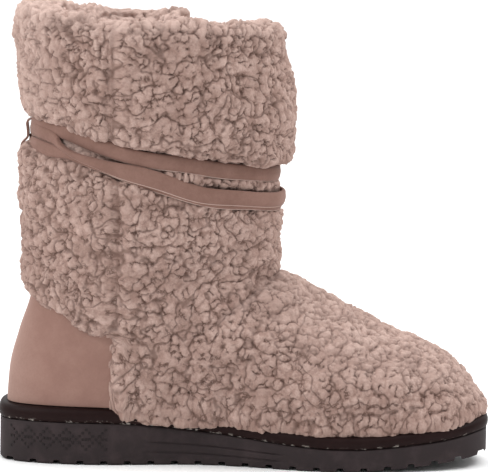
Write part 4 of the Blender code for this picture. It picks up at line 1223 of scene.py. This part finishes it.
def make_outsole():
    """Outsole with its arch grooves and lugs"""
    outline = sole_outline(260)
    outward = level_normals(outline)
    x = outline[:, 0]
    bottom, top = outsole_bottom(x), outsole_top(x)
    rings = []
    for share in np.concatenate([[0.0], np.linspace(0.06, 0.96, 34), [1.0]]):
        inset = SOLE_LOW_EDGE * (1 - quarter_round(share / SOLE_LOW_SHARE))
        inset = inset + SOLE_HIGH_EDGE * (1 - quarter_round((1 - share) / SOLE_HIGH_SHARE))
        inset = inset + arch_groove(x, share) * GROOVE_DEPTH
        ring = outline - outward * inset[:, None]
        ring[:, 2] = bottom + share * (top - bottom)
        rings.append(ring)
    vertices, faces = closed_stack(rings)
    sole = new_piece("rubber_outsole", vertices, faces, ("outsole",), 35.0)
    for cutter in (lug_cutter(), channel_cutter()):
        modifier = sole.modifiers.new("cut", "BOOLEAN")
        modifier.operation = "DIFFERENCE"
        modifier.solver = "EXACT"
        modifier.object = cutter
        bake(sole)
        bpy.data.objects.remove(cutter)
    sole.data.set_sharp_from_angle(angle=math.radians(35.0))
    return [sole]


def arch_groove(x, share):
    """Depth share of the moulded grooves in the arch"""
    inside = smooth_step((x - ARCH_BACK) / ARCH_FADE) * smooth_step((ARCH_FRONT - x) / ARCH_FADE)
    return inside * sum(hump(share, middle, GROOVE_WIDTH_SHARE) for middle in ARCH_GROOVES)


def prism(rows):
    """Quads between equal sections, closed at both ends"""
    count, last = len(rows[0]), len(rows[0]) * (len(rows) - 1)
    faces = ring_faces(len(rows), count)
    faces += [tuple(range(count - 1, -1, -1)), tuple(last + k for k in range(count))]
    return [vertex for row in rows for vertex in row], faces


def cutter_object(name, vertices, faces):
    cutter = new_object(name, vertices, faces)
    recalculate_normals(cutter)
    return cutter


def lug_cutter():
    """Prisms across the sole for the gaps between lugs"""
    vertices, faces = [], []
    half_count = int(HALF_LENGTH / LUG_PITCH)
    slope = (LUG_GAP_MOUTH - LUG_GAP_TOP) / 2
    mouth, top = LUG_GAP_MOUTH / 2 + 2 * slope, LUG_GAP_TOP / 2
    for x in LUG_PHASE + np.arange(-half_count, half_count + 1) * LUG_PITCH:
        low, high = outsole_bottom(x) - 2 * LUG_DEPTH, outsole_bottom(x) + LUG_DEPTH
        section = ((-mouth, low), (mouth, low), (top, high), (-top, high))
        more, more_faces = prism([[(x + a, y, z) for a, z in section] for y in (-BALL_WIDTH, BALL_WIDTH)])
        faces += [tuple(len(vertices) + v for v in face) for face in more_faces]
        vertices += more
    return cutter_object("lug_gaps", vertices, faces)


def channel_cutter():
    """Lengthwise channel along the middle of the tread, following the toe spring"""
    rows = []
    for x in np.linspace(-HALF_LENGTH + CHANNEL_END, HALF_LENGTH - CHANNEL_END, 15):
        near, far = toe_drift(x) - CHANNEL_WIDTH / 2, toe_drift(x) + CHANNEL_WIDTH / 2
        low, high = outsole_bottom(x) - 2 * LUG_DEPTH, outsole_bottom(x) + CHANNEL_SHARE * LUG_DEPTH
        rows.append([(x, near, low), (x, far, low), (x, far, high), (x, near, high)])
    return cutter_object("tread_channel", *prism(rows))


# Relief on the heel: rows of squares, lowest row's height, start and length, square, step and rise
RELIEF_ROWS = 7
RELIEF_LOW = 0.0092
RELIEF_START, RELIEF_LENGTH = -0.1330, 0.0600
RELIEF_TILE = 0.00145
RELIEF_STEP = 0.00190
RELIEF_RISE = 0.00040
# Levels of a square: height over the sole's side and share of the square's size
RELIEF_LEVELS = ((-0.0006, 1.0), (RELIEF_RISE * 0.5, 1.0), (RELIEF_RISE, 0.72))


def relief_tiles():
    """Columns and rows of the raised squares: two crossing zigzags with a dash in each diamond"""
    top = RELIEF_ROWS - 1
    tiles = []
    for column in range(int(RELIEF_LENGTH / RELIEF_STEP)):
        wave = abs((column % (2 * top)) - top)
        tiles += [(column, row) for row in sorted({wave, top - wave})]
        if wave in (0, 1, top - 1, top):
            tiles.append((column, top // 2))
    return tiles


def make_heel_relief():
    """Low raised squares on both sides of the heel"""
    outline = sole_outline(520)
    outward = level_normals(outline)
    half = len(outline) // 2
    vertices, faces = [], []
    for picks in (np.arange(1, half), np.arange(len(outline) - 1, half, -1)):
        line, normal = outline[picks], outward[picks]
        lengths = line_lengths(line)
        start = float(np.interp(RELIEF_START, line[:60, 0], lengths[:60]))
        for column, row in relief_tiles():
            base = len(vertices)
            for out, size in RELIEF_LEVELS:
                for a, b in ((-0.5, -0.5), (-0.5, 0.5), (0.5, -0.5), (0.5, 0.5)):
                    place = start + column * RELIEF_STEP + a * RELIEF_TILE * size
                    x, y = (np.interp(place, lengths, line[:, k] + out * normal[:, k]) for k in (0, 1))
                    vertices.append((x, y, RELIEF_LOW + row * RELIEF_STEP + b * RELIEF_TILE * size))
            quads = [(low + a, low + b, low + 4 + b, low + 4 + a)
                     for low in (0, 4) for a, b in ((0, 1), (1, 3), (3, 2), (2, 0))]
            faces += [tuple(base + v for v in quad) for quad in quads + [(8, 9, 11, 10), (0, 2, 3, 1)]]
    return [new_piece("heel_relief", vertices, faces, (), 30.0)]


def make_rim():
    """Glossy rolled rim between outsole and upper"""
    outline = sole_outline(260)
    outward = level_normals(outline)
    x = outline[:, 0]
    low, high = outsole_top(x) + GAP, sole_top(x)
    rings = []
    for share, out in RIM_SECTION:
        ring = outline + outward * out
        ring[:, 2] = low + share * (high - low)
        rings.append(ring)
    vertices, faces = closed_stack(rings)
    rim = new_piece("rubber_rim", vertices, faces, ("midsole_rim",), 60.0)
    glue = np.zeros(len(vertices))
    glue[:len(GLUE_ROWS) * len(outline)] = np.repeat(GLUE_ROWS, len(outline))
    set_attributes(rim, glue_line=glue)
    return [rim]


# Inside

LINING_LIFT, LINING_THICKNESS, LINING_MARGIN = 0.001, 0.0005, 0.0003
LINING_LEVEL_FROM, LINING_DROP = 0.108, 0.004


def make_lining():
    """Short fleece inside the boot, a thin closed shell from the floor to the cuff's lip"""
    turn = np.linspace(0, 4, 260, endpoint=False)
    rows = rising_rows(turn, np.linspace(0.0, 1.0, 40), LINING_LIFT)
    rows += [backing(height, turn) for height in np.linspace(LINING_LEVEL_FROM, SHAFT_TOP - LINING_DROP, 40)]
    grid = np.array(rows)
    normals = grid_normals(grid)
    inner = grid - normals * (BACKING + LINING_THICKNESS)
    outer = grid - normals * LINING_MARGIN
    rings = list(inner) + list(outer[::-1])
    faces = ring_faces(len(rings), len(turn), closed_stack=True)
    lining = new_piece("fleece_lining", np.concatenate(rings), faces, (), 0.0)
    points = vertex_array(lining.data)
    set_attributes(lining, fleece_place=points, fleece_light=np.ones(len(points)))
    return [lining]


# Stage

def make_camera():
    """Camera at the photograph's angle, with its roll"""
    e = VIEW_ELEVATION
    back = Vector((0.0, -math.cos(e), math.sin(e)))
    right, up = Vector((1.0, 0.0, 0.0)), Vector((0.0, math.sin(e), math.cos(e)))
    across = right * math.cos(VIEW_ROLL) + up * math.sin(VIEW_ROLL)
    upward = up * math.cos(VIEW_ROLL) - right * math.sin(VIEW_ROLL)
    aim = VIEW_AIM - across * (SHIFT_RIGHT / PIXELS_PER_METRE) + upward * (SHIFT_DOWN / PIXELS_PER_METRE)
    data = bpy.data.cameras.new("photo_view")
    data.sensor_width = SENSOR
    data.lens = SENSOR * PIXELS_PER_METRE * VIEW_DISTANCE / PHOTO_WIDTH
    data.clip_end = 50.0
    camera = bpy.data.objects.new("photo_view", data)
    camera.matrix_world = Matrix.Translation(aim + back * VIEW_DISTANCE) @ Matrix(
        (across, upward, back)).transposed().to_4x4()
    bpy.context.collection.objects.link(camera)
    bpy.context.scene.camera = camera


def make_light(name, place, size, power, aim=(0.0, 0.0, 0.10)):
    data = bpy.data.lights.new(name, "AREA")
    data.shape = "DISK"
    data.size = size
    data.energy = power
    light = bpy.data.objects.new(name, data)
    light.location = place
    light.rotation_euler = (Vector(place) - Vector(aim)).to_track_quat("Z", "Y").to_euler()
    bpy.context.collection.objects.link(light)


# Lamps: name, place, size and power
LAMPS = (
    ("key", (-1.5, -0.75, 1.3), 0.6, 15.0),
    ("fill", (1.1, -0.2, 1.6), 0.8, 12.0),
    ("back", (-0.2, 1.4, 1.4), 1.0, 6.0),
)

# Surround: two limits of the direction and the brightness at each, behind the boot and above it
SURROUND_BEHIND = (-0.30, 0.45, 0.50, 1.02)
SURROUND_ABOVE = (0.25, 0.95, 0.0, 0.80)
FLOOR_HALF = 12.0
FLOOR_FINISH = (("Base Color", (0.93, 0.93, 0.93, 1.0)), ("Roughness", 0.9))


def make_stage():
    """Pale floor, soft lamps and a pale surround"""
    corners = [(a * FLOOR_HALF, b * FLOOR_HALF, 0) for a, b in ((-1, -1), (1, -1), (1, 1), (-1, 1))]
    floor = new_object("floor", corners, [(0, 1, 2, 3)])
    paint(floor, material("pale_floor", FLOOR_FINISH)[0])
    world = bpy.data.worlds.new("surround")
    world.use_nodes = True
    tree = world.node_tree
    way = node(tree, "ShaderNodeTexCoord").outputs["Generated"]
    parts = node(tree, "ShaderNodeSeparateXYZ", ((0, way),)).outputs
    behind = ramp(tree, parts[1], *SURROUND_BEHIND)
    above = ramp(tree, parts[2], *SURROUND_ABOVE)
    background = tree.nodes["Background"]
    background.inputs["Color"].default_value = (1.0, 1.0, 1.0, 1.0)
    tree.links.new(maths(tree, "ADD", behind, above), background.inputs["Strength"])
    bpy.context.scene.world = world
    for lamp in LAMPS:
        make_light(*lamp)
    bpy.context.scene.view_settings.view_transform = "Standard"


def main():
    """Build every piece with its material, then the camera and the stage"""
    curls = relief_modifier()
    # The pile's last colour is the painted shade of its gaps, seams and crease
    pile = fleece_material("fleece", srgb(186, 160, 150), srgb(148, 121, 111), srgb(84, 60, 52))
    # The counter's last colour is painted light round the back of the heel
    suede = suede_material("suede", srgb(140, 108, 98), srgb(154, 123, 112), srgb(124, 93, 83),
                           worn_and_lit=srgb(160, 135, 125))
    strap = suede_material("strap_suede", srgb(125, 95, 85), srgb(141, 110, 100), srgb(98, 71, 62),
                           edge=srgb(190, 168, 158))
    footbed = suede_material("footbed", srgb(190, 165, 152), srgb(200, 176, 164), srgb(170, 144, 132))
    sole_rubber = rubber_material("sole_rubber", srgb(40, 31, 32), srgb(60, 49, 50), 0.70, 0.7)
    relief_rubber = rubber_material("relief_rubber", srgb(28, 20, 20), srgb(40, 31, 31), 0.60, 0.4)
    rim_rubber = rubber_material("rim_rubber", srgb(27, 12, 11), srgb(40, 25, 24), 0.55, 0.4,
                                 gloss=0.10, glue=srgb(176, 168, 160))
    groups = (
        (make_upper_fleece(curls), pile),
        (make_cuff(curls), pile),
        (make_counter(), suede),
        (make_strap(), strap),
        (make_keeper(), strap),
        (make_outsole(), sole_rubber),
        (make_heel_relief(), relief_rubber),
        (make_rim(), rim_rubber),
        (make_lining(), pile),
    )
    for pieces, look in groups:
        for piece in pieces:
            paint(piece, look)
            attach(piece, "root")
    paint(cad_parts["insole"], footbed)
    make_camera()
    make_stage()


main()
